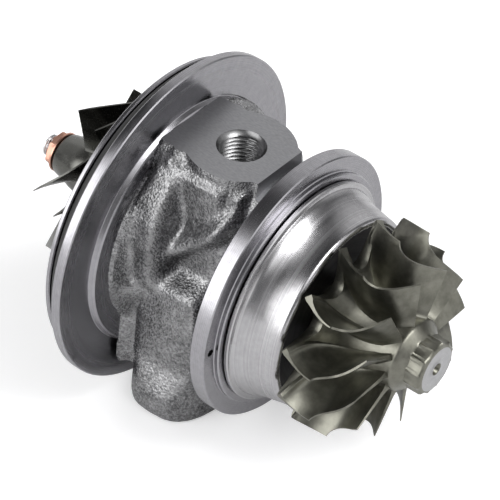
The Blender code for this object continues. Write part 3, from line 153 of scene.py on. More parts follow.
table_paint = Finish("table_paint", roughness=0.6, metallic=0.0)
table_paint.shader.inputs["Base Color"].default_value = (0.86, 0.86, 0.865, 1.0)
seen = table_paint.add("ShaderNodeLightPath")
amount = table_paint.add("ShaderNodeMapRange", To_Min=0.0, To_Max=TABLE_GLOW)
glow = table_paint.add("ShaderNodeEmission", Color=(1.0, 1.0, 1.0, 1.0))
lift = table_paint.add("ShaderNodeAddShader")
table_paint.link(seen.outputs["Is Camera Ray"], amount.inputs["Value"])
table_paint.link(amount.outputs[0], glow.inputs["Strength"])
table_paint.link(table_paint.shader.outputs[0], lift.inputs[0])
table_paint.link(glow.outputs[0], lift.inputs[1])
table_paint.link(lift.outputs[0], table_paint.tree.nodes["Material Output"].inputs[0])
shape = bmesh.new()
bmesh.ops.create_grid(shape, x_segments=8, y_segments=8, size=TABLE_HALF)
tilt = Vector((0, 0, 1)).rotation_difference(TABLE_NORMAL).to_matrix().to_4x4()
bmesh.ops.transform(shape, verts=shape.verts,
                    matrix=Matrix.Translation(-TABLE_NORMAL * TABLE_DROP) @ tilt)
table_top = placed("table_top", mesh_of(shape, "table_top"))
table_top.data.materials.append(table_paint.material)

# Plain soft studio light: a dim room that is paler near the floor, with soft boxes round the
# cartridge, so that the turned faces show light and dark bands. The camera sees it as white.
FLOOR_TONE, CEILING_TONE = (0.30, 0.30, 0.305, 1), (0.05, 0.05, 0.052, 1)
SOFT_BOXES = (  # direction, angles in degrees where it starts and ends to fade, strength
    ((-0.30, -0.88, 0.36), 20.0, 38.0, 3.4),
    ((-0.45, 0.76, 0.46), 12.0, 42.0, 0.75),
    ((0.80, 0.45, 0.30), 8.0, 30.0, 0.9),
    ((0.66, -0.10, 0.74), 12.0, 34.0, 1.7),
    ((-0.75, 0.05, 0.30), 8.0, 34.0, 0.5),
)
OVERHEAD_PLACE, OVERHEAD_SIDE, OVERHEAD_WATTS = Vector((0.50, 0.05, 0.80)), 0.45, 5.0
studio = bpy.data.worlds.new("studio")
bpy.context.scene.world = studio
studio.use_nodes = True
nodes, link = studio.node_tree.nodes, studio.node_tree.links.new
direction = nodes.new("ShaderNodeTexCoord").outputs["Generated"]
split = nodes.new("ShaderNodeSeparateXYZ")
height = nodes.new("ShaderNodeMapRange")
height.inputs["From Min"].default_value = -1.0
walls = nodes.new("ShaderNodeValToRGB")
for stop, place, colour in zip(walls.color_ramp.elements, (0.45, 0.92), (FLOOR_TONE, CEILING_TONE)):
    stop.position, stop.color = place, colour
link(direction, split.inputs[0])
link(split.outputs["Z"], height.inputs["Value"])
link(height.outputs[0], walls.inputs[0])
light = walls.outputs[0]
for toward, inner, outer, strength in SOFT_BOXES:
    facing = nodes.new("ShaderNodeVectorMath")
    facing.operation = "DOT_PRODUCT"
    facing.inputs[1].default_value = Vector(toward).normalized()
    fade = nodes.new("ShaderNodeMapRange")
    fade.interpolation_type = "SMOOTHSTEP"
    fade.inputs["From Min"].default_value = math.cos(math.radians(outer))
    fade.inputs["From Max"].default_value = math.cos(math.radians(inner))
    fade.inputs["To Max"].default_value = strength
    added = nodes.new("ShaderNodeVectorMath")
    link(direction, facing.inputs[0])
    link(facing.outputs["Value"], fade.inputs["Value"])
    link(light, added.inputs[0])
    link(fade.outputs[0], added.inputs[1])
    light = added.outputs[0]
seen = nodes.new("ShaderNodeLightPath")
white = nodes.new("ShaderNodeBackground")
white.inputs["Color"].default_value = (1, 1, 1, 1)
choose = nodes.new("ShaderNodeMixShader")
link(light, nodes["Background"].inputs["Color"])
link(seen.outputs["Is Camera Ray"], choose.inputs[0])
link(nodes["Background"].outputs[0], choose.inputs[1])
link(white.outputs[0], choose.inputs[2])
link(choose.outputs[0], nodes["World Output"].inputs[0])
box_overhead = placed("box_overhead", bpy.data.lights.new("box_overhead", "AREA"))
box_overhead.data.size = OVERHEAD_SIDE
box_overhead.data.energy = OVERHEAD_WATTS
box_overhead.location = OVERHEAD_PLACE
box_overhead.rotation_euler = (-OVERHEAD_PLACE).to_track_quat("-Z", "Y").to_euler()

# The bearing housing is an iron casting, dark and rough as it left the sand. Its skin is cut
# finer than the solid and smoothed, but it keeps its borders with the milled and bored faces.
FLANGE_DEPTH = 0.0080
FLANGE_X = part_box("bearing_housing")[0].x + FLANGE_DEPTH
HUB_FACE, HUB_HOLE = 0.0015, 0.0243
REAR_STEP, REAR_STEP_R = 0.0312, 0.0320
REAR_FACE, REAR_HOLE = 0.0356, 0.0151
BEARING_R, POCKET_R, POCKET_END = 0.0155, 0.0198, 0.0099
PAD_Z, FOOT_Z = 0.0353, -0.0447
INLET_X, INLET_R, INLET_FLOOR, THREAD_FLOOR = -0.0022, 0.00675, 0.0210, 0.0223
DRAIN_X, DRAIN_R, DRAIN_TOP = -0.0056, 0.0087, -0.0139
SCREW_Y, SCREW_R, SCREW_TOP = 0.0175, 0.0036, -0.0300
NEAR, HAIR = 0.0001, 0.00001
LONGEST_EDGE, CUT_ROUNDS = 0.0009, 5
BORDER_RINGS, SMOOTH_ROUNDS, SMOOTH_SHARE = 5, 10, 0.55
SAND_SWELLS = ((0.0045, 0.00010), (0.0014, 0.00004))


def kind_of(face):
    """Which tool or mould made a face of the housing: cast, milled, bore, thread or turned."""
    middle = face.calc_center_median()
    stations = [v.co.x - FLANGE_X for v in face.verts]
    radii = [math.hypot(v.co.y, v.co.z) for v in face.verts]
    station, r = middle.x - FLANGE_X, math.hypot(middle.y, middle.z)
    if max(stations) < HUB_FACE + HAIR and min(radii) > HUB_HOLE:
        return "turned"
    if min(stations) > REAR_FACE - HAIR and max(radii) > REAR_HOLE:
        return "turned"
    if face.normal.z > 0.999 and abs(middle.z - PAD_Z) < NEAR:
        return "milled"
    if face.normal.z < -0.999 and abs(middle.z - FOOT_Z) < NEAR:
        return "milled"
    if math.hypot(middle.x - INLET_X, middle.y) < INLET_R and middle.z > INLET_FLOOR:
        return "thread" if middle.z > THREAD_FLOOR + NEAR else "bore"
    if math.hypot(middle.x - DRAIN_X, middle.y) < DRAIN_R and middle.z < DRAIN_TOP:
        return "bore"
    if math.hypot(middle.x - DRAIN_X, abs(middle.y) - SCREW_Y) < SCREW_R and middle.z < SCREW_TOP:
        return "bore"
    if r < BEARING_R or (r < POCKET_R and station < POCKET_END):
        return "bore"
    if abs(face.normal.x) > 0.999 and abs(station - REAR_STEP) < NEAR:
        return "milled"
    on_step = all(abs(q - REAR_STEP_R) < 1.4 * NEAR for q in radii)
    if on_step and REAR_STEP - 2 * NEAR < station < REAR_FACE + NEAR:
        return "milled"
    return "cast"


def faces_of(shape, kinds, wanted):
    """A new bmesh with only the faces of the wanted kinds."""
    picked, copies = bmesh.new(), {}
    for face in shape.faces:
        if kinds[face] in wanted:
            for v in face.verts:
                if v not in copies:
                    copies[v] = picked.verts.new(v.co)
            picked.faces.new([copies[v] for v in face.verts])
    return picked


shape = bmesh.new()
shape.from_mesh(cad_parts["bearing_housing"].data)
bmesh.ops.remove_doubles(shape, verts=shape.verts, dist=2e-6)
kinds = {face: kind_of(face) for face in shape.faces}
skin = faces_of(shape, kinds, ("cast",))
milled = faces_of(shape, kinds, ("milled", "bore"))
shape.free()
bmesh.ops.triangulate(skin, faces=skin.faces)
for cut_round in range(CUT_ROUNDS):
    long_edges = [e for e in skin.edges if e.calc_length() > LONGEST_EDGE]
    bmesh.ops.subdivide_edges(skin, edges=long_edges, cuts=1)
    bmesh.ops.triangulate(skin, faces=[f for f in skin.faces if len(f.verts) > 3])
held = np.array([v.is_boundary for v in skin.verts], dtype=float)
skin_mesh = mesh_of(skin, "cast_housing")
points = np.array([v.co for v in skin_mesh.vertices])
pairs = np.array([e.vertices for e in skin_mesh.edges])
degree = np.bincount(pairs.ravel(), minlength=len(points))[:, None]
for ring in range(BORDER_RINGS):
    spread = held.copy()
    np.maximum.at(spread, pairs[:, 0], held[pairs[:, 1]] - 1 / BORDER_RINGS)
    np.maximum.at(spread, pairs[:, 1], held[pairs[:, 0]] - 1 / BORDER_RINGS)
    held = spread
freedom = (1.0 - held)[:, None]
for smooth_round in range(SMOOTH_ROUNDS):
    total = np.zeros_like(points)
    np.add.at(total, pairs[:, 0], points[pairs[:, 1]])
    np.add.at(total, pairs[:, 1], points[pairs[:, 0]])
    points = points + SMOOTH_SHARE * freedom * (total / degree - points)
skin_mesh.vertices.foreach_set("co", points.ravel())
skin_mesh.update()
normals = np.array([v.normal for v in skin_mesh.vertices])
for width, swell in SAND_SWELLS:
    wave = np.array([noise.noise(Vector(p) / width) for p in points])
    points = points + normals * freedom * (wave * swell)[:, None]
skin_mesh.vertices.foreach_set("co", points.ravel())
skin_mesh.update()
cast_housing = placed("cast_housing", skin_mesh)
cast_iron = Finish("sand_cast_iron")
blotches = cast_iron.grain(scale=120.0, detail=4.0, roughness=0.6)
sand = cast_iron.grain(scale=1250.0, detail=4.0, roughness=0.75)
pits = cast_iron.add("ShaderNodeTexVoronoi", Scale=1700.0)
cast_iron.link(cast_iron.where, pits.inputs["Vector"])
rise = cast_iron.add("ShaderNodeMath", operation="ADD")
cast_iron.link(sand, rise.inputs[0])
cast_iron.link(pits.outputs["Distance"], rise.inputs[1])
cast_iron.tone(cast_iron.blend(sand, 0.65, blotches), dark=(0.05, 0.05, 0.052),
               light=(0.44, 0.44, 0.445), low=0.36, high=0.66)
cast_iron.polish(sand, low=0.16, high=0.36)
cast_iron.emboss(rise.outputs[0], strength=0.65, depth=0.00020)
skin_mesh.materials.append(cast_iron.material)
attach(cast_housing, "housing")
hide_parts("bearing_housing")


# The sides of the same casting bulge round what they hold: a shoulder behind the large flange,
# a boss round the bearings, an oil gallery's slanting rib and the drain column. In mm here.
SIDE_START, SIDE_END, SIDE_LOW, SIDE_HIGH = 2.0, 30.5, -6.5, 33.5
SIDE_COLUMNS, SIDE_ROWS, SIDE_ROUNDS = 70, 96, 16
COVERED_X, COVERED_Z, COVERED_Y = (2.5, 30.0), (-6.0, 33.0), 11.5
BOSS_X, BOSS_R, BOSS_LEAST, WALL_Y = 18.5, 15.6, 13.6, 15.0
RIB_X, RIB_Z, RIB_SLOPE, RIB_Y = 9.5, 4.5, 0.94, 20.6
RIB_ABOVE, RIB_BELOW, RIB_POWER = 3.6, 2.7, 2.4
SHOULDER_HEIGHTS = (-8, -2, 4, 10, 16, 20, 25, 30, 33.5)
SHOULDER_REACH = (23.5, 23.8, 24.6, 25.0, 24.0, 22.6, 19.8, 16.6, 14.4)
HUB_R, COLUMN_Y, SOFT_JOIN = 30.5, 22.1, 0.7


def ease(low, high, value):
    """From 0 at low to 1 at high, with soft ends."""
    t = min(max((value - low) / (high - low), 0.0), 1.0)
    return t * t * (3 - 2 * t)


def side_form(s, z):
    """How far out the side stands at station s and height z."""
    boss = math.sqrt(max(BOSS_R ** 2 - (s - BOSS_X) ** 2, BOSS_LEAST ** 2))
    wall = boss + (WALL_Y - boss) * (1 - ease(8.0, 18.0, z))
    off_rib = (z - RIB_Z - RIB_SLOPE * (s - RIB_X)) / math.hypot(1, RIB_SLOPE)
    width = RIB_ABOVE if off_rib > 0 else RIB_BELOW
    rise = (RIB_Y - 0.9 * ease(12.0, 20.0, s) - wall) * (1 - ease(26.0, 30.5, s))
    wall += rise * math.exp(-(abs(off_rib) / width) ** RIB_POWER)
    arch = np.interp(z, SHOULDER_HEIGHTS, SHOULDER_REACH)
    hub = math.sqrt(max(HUB_R ** 2 - z * z, 12.0 ** 2))
    shoulder = hub + (arch - hub) * ease(1.2, 4.4, s) - 10.0 * ease(9.8, 15.4, s)
    column = COLUMN_Y - 6.2 * ease(-3.6, 2.4, z)
    column -= 8.0 * (1 - ease(7.6, 10.6, s)) + 8.0 * ease(23.6, 27.0, s)
    return SOFT_JOIN * math.log(sum(math.exp(v / SOFT_JOIN) for v in (wall, shoulder, column)))


def sheet_mesh(name, rows, wrap=True, flip=False):
    """Quads between rows of points; each row closes on itself when wrap is set."""
    count = len(rows[0])
    faces = []
    for i in range(len(rows) - 1):
        for j in range(count if wrap else count - 1):
            k = (j + 1) % count
            quad = (i * count + j, i * count + k, (i + 1) * count + k, (i + 1) * count + j)
            faces.append(quad[::-1] if flip else quad)
    made = bpy.data.meshes.new(name)
    made.from_pydata([p for row in rows for p in row], [], faces)
    return made


skin_tree = BVHTree.FromPolygons([tuple(v.co) for v in skin_mesh.vertices],
                                 [tuple(p.vertices) for p in skin_mesh.polygons])
stations = np.linspace(SIDE_START, SIDE_END, SIDE_COLUMNS)
heights = np.linspace(SIDE_LOW, SIDE_HIGH, SIDE_ROWS)
forms = np.array([[side_form(s, z) for z in heights] for s in stations])
for smooth_round in range(SIDE_ROUNDS):
    wide = np.pad(forms, 1, mode="edge")
    forms = 0.5 * forms + (wide[2:, 1:-1] + wide[:-2, 1:-1] + wide[1:-1, 2:] + wide[1:-1, :-2]) / 8
sides = bmesh.new()
for side in (-1, 1):
    rows = []
    for s, forms_here in zip(stations, forms):
        row = []
        for z, form in zip(heights, forms_here):
            hit = skin_tree.ray_cast(Vector((FLANGE_X + s / 1000, side * 0.06, z / 1000)),
                                     Vector((0, -side, 0)))[0]
            found = abs(hit.y) * 1000 if hit else form
            share = (ease(2.0, 3.2, s) * (1 - ease(28.4, 30.4, s))
                     * ease(-6.5, -2.5, z) * (1 - ease(30.0, 33.2, z)))
            y = found + (form - found) * share + 0.03
            swell = noise.noise(Vector((s, y * side, z)) / 1.4) * 0.05
            swell += noise.noise(Vector((s, y * side, z)) / 4.5) * 0.12
            row.append((FLANGE_X + s / 1000, side * (y + swell * share) / 1000, z / 1000))
        rows.append(row)
    sides.from_mesh(sheet_mesh("one_side", rows, wrap=False, flip=side < 0))
sides_mesh = mesh_of(sides, "cast_sides")
sides_mesh.shade_smooth()
cast_sides = placed("cast_sides", sides_mesh)
sides_mesh.materials.append(cast_iron.material)
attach(cast_sides, "housing")
skin = bmesh.new()
skin.from_mesh(skin_mesh)
covered = []
for face in skin.faces:
    middle = face.calc_center_median() * 1000
    s = middle.x - FLANGE_X * 1000
    if (COVERED_X[0] < s < COVERED_X[1] and COVERED_Z[0] < middle.z < COVERED_Z[1]
            and abs(middle.y) > COVERED_Y):
        covered.append(face)
bmesh.ops.delete(skin, geom=covered, context="FACES")
skin.to_mesh(skin_mesh)
skin.free()
skin_mesh.validate(clean_customdata=False)
skin_mesh.shade_smooth()


# The pad for the oil fitting, the foot for the return pipe and the bores are cut after
# casting, so they are flat and bright, with the fine lines of the cutter.
def crease(mesh, degrees):
    """Shade a mesh smooth, but keep the edges that are sharper than an angle."""
    mesh.shade_smooth()
    mesh.set_sharp_from_angle(angle=math.radians(degrees))


milled_faces = placed("milled_faces", mesh_of(milled, "milled_faces"))
crease(milled_faces.data, 30)
milled_iron = Finish("milled_iron", roughness=0.38)
stretch = milled_iron.add("ShaderNodeMapping", Scale=(900.0, 2600.0, 2600.0))
milled_iron.link(milled_iron.where, stretch.inputs[0])
lines = milled_iron.grain(scale=1.0, detail=3.0, place=stretch.outputs[0])
milled_iron.tone(lines, dark=(0.29, 0.29, 0.30), light=(0.37, 0.37, 0.385), low=0.3, high=0.75)
milled_iron.emboss(lines, strength=0.15, depth=0.00003)
milled_faces.data.materials.append(milled_iron.material)
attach(milled_faces, "housing")

# The oil inlet is tapped M12 x 1.25 below a turned mouth. The thread is one helical groove
# cut into the wall of the hole.
CORE_R, THREAD_DEPTH, THREAD_PITCH = 0.0054, 0.00062, 0.00125
THREAD_TOP = PAD_Z - 0.0013
THREAD_STEPS, THREAD_SIDES = 110, 72
MOUTH = ((0.00115, 0.00585), (0.0002, 0.0066), (0.0, 0.0067))


def thread_wave(turn):
    """Depth of a thread's flank, from 0 on its crest to 1 at its root."""
    t = abs((turn % 1.0) * 2 - 1)
    return min(max((t - 0.12) / 0.70, 0.0), 1.0)


rows = []
for i in range(THREAD_STEPS + 1):
    z = THREAD_FLOOR + (THREAD_TOP - THREAD_FLOOR) * i / THREAD_STEPS
    row = []
    for j in range(THREAD_SIDES):
        a = 2 * math.pi * j / THREAD_SIDES
        r = CORE_R + THREAD_DEPTH * thread_wave(z / THREAD_PITCH - j / THREAD_SIDES)
        row.append((INLET_X + r * math.cos(a), -r * math.sin(a), z))
    rows.append(row)
for depth, r in MOUTH:
    angles = [2 * math.pi * j / THREAD_SIDES for j in range(THREAD_SIDES)]
    rows.append([(INLET_X + r * math.cos(a), -r * math.sin(a), PAD_Z - depth) for a in angles])
inlet_thread = placed("inlet_thread", sheet_mesh("inlet_thread", rows))
crease(inlet_thread.data, 40)
cut_iron = Finish("cut_iron", roughness=0.32)
flecks = cut_iron.grain(scale=2400.0, detail=2.0)
cut_iron.tone(flecks, dark=(0.12, 0.12, 0.12), light=(0.26, 0.26, 0.265))
inlet_thread.data.materials.append(cut_iron.material)
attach(inlet_thread, "housing")

# Both flanges are turned on the casting in one chucking, so their faces carry fine rings and
# throw a fan of light. The large one holds the compressor cover, the small one the turbine's.
EDGE = 0.0003
HUB_BORE, HUB_RIM, HUB_FILLET_R = 0.0245, 0.0353, 0.03645
DISC_R, DISC_DEPTH = 0.0480, 0.0028
GROOVE_R, GROOVE_END, LAND_R = 0.04135, 0.0066, 0.04425
INSERT_SEAT_R, INSERT_SEAT = 0.0316, 0.0072
REAR_R, REAR_RIM = 0.0382, 0.0402
PILOT_R, PILOT_FACE, SHAFT_HOLE = 0.0338, 0.0416, 0.0146
DOWEL_Y, DOWEL_X, DOWEL_R, DOWEL_LENGTH = -0.03545, 0.0403, 0.0011, 0.0062


def welded(mesh):
    """Join the points that coincide and turn all faces outwards."""
    shape = bmesh.new()
    shape.from_mesh(mesh)
    bmesh.ops.remove_doubles(shape, verts=shape.verts, dist=1e-7)
    bmesh.ops.recalc_face_normals(shape, faces=shape.faces)
    shape.to_mesh(mesh)
    shape.free()


def turned_mesh(name, profile, segments=256, sharp=28.0):
    """Revolve the (station, radius) points of a closed outline about X."""
    angles = [2 * math.pi * i / segments for i in range(segments)]
    rows = [[(FLANGE_X + x, r * math.cos(a), r * math.sin(a)) for a in angles] for x, r in profile]
    made = sheet_mesh(name, rows + rows[:1])
    welded(made)
    crease(made, sharp)
    return made


def turned_metal(name, dark, light, roughness, rings=5200.0, depth=0.00002, sheen=0.6):
    """Lathe-cut metal: rings of slightly different tone and height round the X axis."""
    metal = Finish(name)
    split = metal.add("ShaderNodeSeparateXYZ")
    across = metal.add("ShaderNodeCombineXYZ")
    radius = metal.add("ShaderNodeVectorMath", operation="LENGTH")
    along = metal.add("ShaderNodeMath", operation="ADD")
    fine = metal.add("ShaderNodeTexNoise", noise_dimensions="1D", Scale=rings, Detail=2.0)
    wide = metal.add("ShaderNodeTexNoise", noise_dimensions="1D", Scale=rings / 9, Detail=1.0)
    lay = metal.add("ShaderNodeTangent", direction_type="RADIAL", axis="X")
    metal.link(metal.where, split.inputs[0])
    metal.link(split.outputs["Y"], across.inputs["Y"])
    metal.link(split.outputs["Z"], across.inputs["Z"])
    metal.link(across.outputs[0], radius.inputs[0])
    metal.link(radius.outputs["Value"], along.inputs[0])
    metal.link(split.outputs["X"], along.inputs[1])
    metal.link(along.outputs[0], fine.inputs["W"])
    metal.link(along.outputs[0], wide.inputs["W"])
    mottle = metal.grain(scale=700.0, detail=3.0)
    metal.tone(metal.blend(fine.outputs[0], 0.6, mottle), dark, light, low=0.30, high=0.72)
    metal.polish(wide.outputs[0], low=roughness - 0.06, high=roughness + 0.08)
    metal.emboss(fine.outputs[0], strength=0.35, depth=depth)
    metal.link(lay.outputs[0], metal.shader.inputs["Tangent"])
    metal.shader.inputs["Anisotropic"].default_value = sheen
    return metal.material


compressor_flange = placed("compressor_flange", turned_mesh("compressor_flange", [
    (HUB_FACE, HUB_BORE), (HUB_FACE, HUB_RIM), (HUB_FACE - EDGE, HUB_RIM + 0.00045),
    (0.0001, HUB_FILLET_R - 0.00015), (0.0, HUB_FILLET_R),
    (0.0, DISC_R - EDGE), (-EDGE, DISC_R), (EDGE - DISC_DEPTH, DISC_R), (-DISC_DEPTH, DISC_R - EDGE),
    (-DISC_DEPTH, GROOVE_R), (-GROOVE_END, GROOVE_R), (-GROOVE_END, LAND_R - EDGE),
    (-GROOVE_END - EDGE, LAND_R), (EDGE - FLANGE_DEPTH, LAND_R), (-FLANGE_DEPTH, LAND_R - EDGE),
    (-FLANGE_DEPTH, INSERT_SEAT_R), (-INSERT_SEAT, INSERT_SEAT_R), (-INSERT_SEAT, HUB_BORE),
]))
turbine_flange = placed("turbine_flange", turned_mesh("turbine_flange", [
    (REAR_FACE, SHAFT_HOLE), (REAR_FACE, REAR_R - EDGE), (REAR_FACE + EDGE, REAR_R),
    (REAR_RIM - EDGE, REAR_R), (REAR_RIM, REAR_R - EDGE), (REAR_RIM, PILOT_R + EDGE),
    (REAR_RIM + 0.0002, PILOT_R), (PILOT_FACE - EDGE, PILOT_R), (PILOT_FACE, PILOT_R - EDGE),
    (PILOT_FACE, SHAFT_HOLE),
]))
drill = bmesh.new()
bmesh.ops.create_cone(drill, cap_ends=True, segments=32, radius1=DOWEL_R, radius2=DOWEL_R,
                      depth=DOWEL_LENGTH,
                      matrix=Matrix.Translation((FLANGE_X + DOWEL_X, DOWEL_Y, 0.0))
                      @ Matrix.Rotation(math.pi / 2, 4, "Y"))
dowel_drill = placed("dowel_drill", mesh_of(drill, "dowel_drill"))
dowel_hole = turbine_flange.modifiers.new("dowel_hole", "BOOLEAN")
dowel_hole.operation, dowel_hole.object, dowel_hole.solver = "DIFFERENCE", dowel_drill, "EXACT"
turbine_flange.data = bpy.data.meshes.new_from_object(
    turbine_flange.evaluated_get(bpy.context.evaluated_depsgraph_get()))
turbine_flange.modifiers.clear()
bpy.data.objects.remove(dowel_drill)
turned_iron = turned_metal("turned_iron", (0.27, 0.265, 0.28), (0.40, 0.395, 0.415), 0.24, sheen=0.45)
for flange in (compressor_flange, turbine_flange):
    flange.data.materials.append(turned_iron)
    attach(flange, "housing")

# Behind the pad a crescent of the casting stands a little proud of the turned hub face. It was
# left as cast, so it is rough and its ends are rounded. Its sizes are in mm and degrees.
CRESCENT_START, CRESCENT_SWEEP, CRESCENT_SINK, CRESCENT_HEIGHT = 63.0, 48.0, 1.0, 0.9
CRESCENT_OUTER, CRESCENT_WIDENS, CRESCENT_INNER = 36.1, 3.2, 30.5
CRESCENT_TIP_R, CRESCENT_NECK_R = 35.1, 33.6
CRESCENT_LONG, CRESCENT_ACROSS, ROUND_STEPS, NECK_STEPS = 60, 24, 7, 14
rows = []
for i in range(CRESCENT_LONG + 1):
    along = i / CRESCENT_LONG
    a = math.radians(CRESCENT_START - CRESCENT_SWEEP * along)
    outer = CRESCENT_OUTER + CRESCENT_WIDENS * along ** 1.5
    inner = CRESCENT_NECK_R if i < NECK_STEPS else CRESCENT_INNER
    opening = math.sqrt(1 - max(1 - i / ROUND_STEPS, 0) ** 2)
    low = CRESCENT_TIP_R - (CRESCENT_TIP_R - inner) * opening
    high = CRESCENT_TIP_R + (outer - CRESCENT_TIP_R) * opening
    row = []
    for j in range(CRESCENT_ACROSS + 1):
        t = j / CRESCENT_ACROSS
        r = low + (high - low) * t
        rise = math.sin(math.pi / 2 * min(t * 8, (1 - t) * 8, 1.0) * opening)
        swell = noise.noise(Vector((r * math.cos(a), r * math.sin(a), 0.0)) * 1.6) * 0.10
        lift = CRESCENT_SINK + CRESCENT_HEIGHT * rise + swell
        row.append((FLANGE_X + lift / 1000, r / 1000 * math.cos(a), r / 1000 * math.sin(a)))
    rows.append(row)
rough_crescent = placed("rough_crescent", sheet_mesh("rough_crescent", rows, wrap=False))
rough_crescent.data.shade_smooth()
rough_crescent.data.materials.append(cast_iron.material)
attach(rough_crescent, "housing")

# The cover's O-ring lies in the groove behind the large flange. It is moulded of black rubber,
# a little dusty.
O_RING_X, O_RING_R, O_RING_THICK = -0.0047, 0.0432, 0.00155
turns = [2 * math.pi * i / 24 for i in range(24)]
cover_ring = placed("cover_ring", turned_mesh("cover_ring", [
    (O_RING_X + O_RING_THICK * math.cos(a), O_RING_R + O_RING_THICK * math.sin(a)) for a in turns
], 192, 60.0))
black_rubber = Finish("black_rubber_ring", roughness=0.55, metallic=0.0)
dust = black_rubber.grain(scale=500.0, detail=4.0)
black_rubber.tone(dust, dark=(0.012, 0.012, 0.012), light=(0.035, 0.035, 0.035))
cover_ring.data.materials.append(black_rubber.material)
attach(cover_ring, "housing")
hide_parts("cover_o_ring")

# The heat shield is one deep-drawn sheet of bright steel. Its brim lies on the turbine
# flange, its barrel tapers, and its mouth is rolled in round the back of the wheel.
BRIM, SHEET, MOUTH_X = 0.0419, 0.0012, 0.0554
BRIM_R, NECK_R, BARREL_R = 0.0320, 0.0292, 0.0277
ROLL, LIP_R, LIP, FLOOR, SHIELD_HOLE = 0.0013, 0.0253, 0.0008, 0.0032, 0.0094


def bend(station, radius, size, start, end, steps):
    """Points along a round bend, between two angles in degrees from the axis outwards."""
    turns = [math.radians(start + (end - start) * i / steps) for i in range(steps + 1)]
    return [(station + size * math.cos(a), radius + size * math.sin(a)) for a in turns]


brim_top = BRIM + SHEET
shield = [(BRIM, BRIM_R - 0.0002), (BRIM + 0.0002, BRIM_R), (brim_top - EDGE, BRIM_R),
          (brim_top, BRIM_R - EDGE), (brim_top, 0.0310), (brim_top + 0.0002, 0.03055),
          (brim_top + 0.0008, 0.0303), (brim_top + 0.0020, 0.0299), (brim_top + 0.0028, NECK_R)]
shield += bend(MOUTH_X - ROLL, BARREL_R - ROLL, ROLL, 84, 0, 8)
shield += bend(MOUTH_X - LIP, LIP_R + LIP, LIP, 0, -80, 4)
shield += [(MOUTH_X - 0.0017, LIP_R - 0.0006), (MOUTH_X - 0.0027, LIP_R - 0.0016),
           (MOUTH_X - FLOOR, LIP_R - 0.0030), (MOUTH_X - FLOOR, SHIELD_HOLE)]
shield += [(MOUTH_X - FLOOR - SHEET, SHIELD_HOLE), (MOUTH_X - FLOOR - SHEET, 0.0261),
           (brim_top + 0.0030, NECK_R - SHEET), (BRIM, NECK_R - SHEET)]
shield_skin = placed("shield_skin", turned_mesh("shield_skin", shield, 256, 40.0))
shield_skin.data.materials.append(turned_metal(
    "drawn_steel", (0.36, 0.355, 0.365), (0.50, 0.495, 0.505), 0.24, 4200.0, 0.00001, 0.45))
# Slot 1 is a near-black steel for the recessed floor and inner lip in the mouth: painted shade, standing
# in for the shadow that falls in there behind the wheel.
shield_skin.data.materials.append(
    turned_metal("painted_shade_steel", (0.035, 0.034, 0.036), (0.075, 0.073, 0.075), 0.45, sheen=0.2))
# The faces of the recessed floor inside the lip take slot 1, the painted shade.
for face in shield_skin.data.polygons:
    r, station = math.hypot(face.center.y, face.center.z), face.center.x - FLANGE_X
    if r < LIP_R - 0.0004 and station > MOUTH_X - FLOOR - 0.0004:
        face.material_index = 1
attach(shield_skin, "housing")
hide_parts("heat_shield")

# The turbine wheel is cast in a nickel alloy: a scalloped disc, twelve blades and a socket
# with twelve lobes for the spanner. Its outer edges are ground bright after casting.
BLADES, FIRST_BLADE = 12, math.radians(16.0)
DISC_BACK, DISC_FRONT, CORNER, EXIT = 0.0572, 0.0589, 0.0674, 0.0779
TIP_R, EXIT_R, HUB_END_R, SCALLOP_R = 0.0298, 0.0241, 0.0104, 0.0192
BOSS_BACK, BOSS_BACK_R = 0.0513, 0.0082
SOCKET_X, SOCKET_R, LOBE_DEPTH = EXIT + 0.0034, 0.0079, 0.00055
LEAN_IN, LEAN_OUT = 6.5, 21.5
HUB_POWER, SCALLOP_POWER, PER_BLADE = 2.6, 2.8, 24
BLADE_SHARES = (-0.10, -0.03, 0.0, 0.02, 0.045, 0.08, 0.13, 0.2, 0.32, 0.46, 0.6, 0.74, 0.87, 0.96, 1.0)
BLADE_STEPS, EDGE_THINNING = 22, 0.45


def quarter_curve(start, end, power, t):
    """A superellipse quarter between two (station, radius) points, leaving along the radius."""
    swing = math.pi / 2 * t
    inward = math.sin(swing) ** (2 / power)
    forward = 1 - math.cos(swing) ** (2 / power)
    return (start[0] + (end[0] - start[0]) * forward, start[1] + (end[1] - start[1]) * inward)


def turbine_hub(t):
    return quarter_curve((DISC_FRONT, TIP_R), (EXIT, HUB_END_R), HUB_POWER, t)


def turbine_edge(t):
    return quarter_curve((CORNER, TIP_R), (EXIT, EXIT_R), 2.0, t)


def turbine_angle(t, v):
    """Lean of the turbine's blade, along its foot by t and up its height by v."""
    x = turbine_hub(t)[0] * (1 - v) + turbine_edge(t)[0] * v
    if x < CORNER:
        return math.radians(LEAN_IN) * (1 - ((CORNER - x) / (CORNER - DISC_FRONT)) ** 2)
    return math.radians(LEAN_IN - LEAN_OUT * ((x - CORNER) / (EXIT - CORNER)) ** 2)


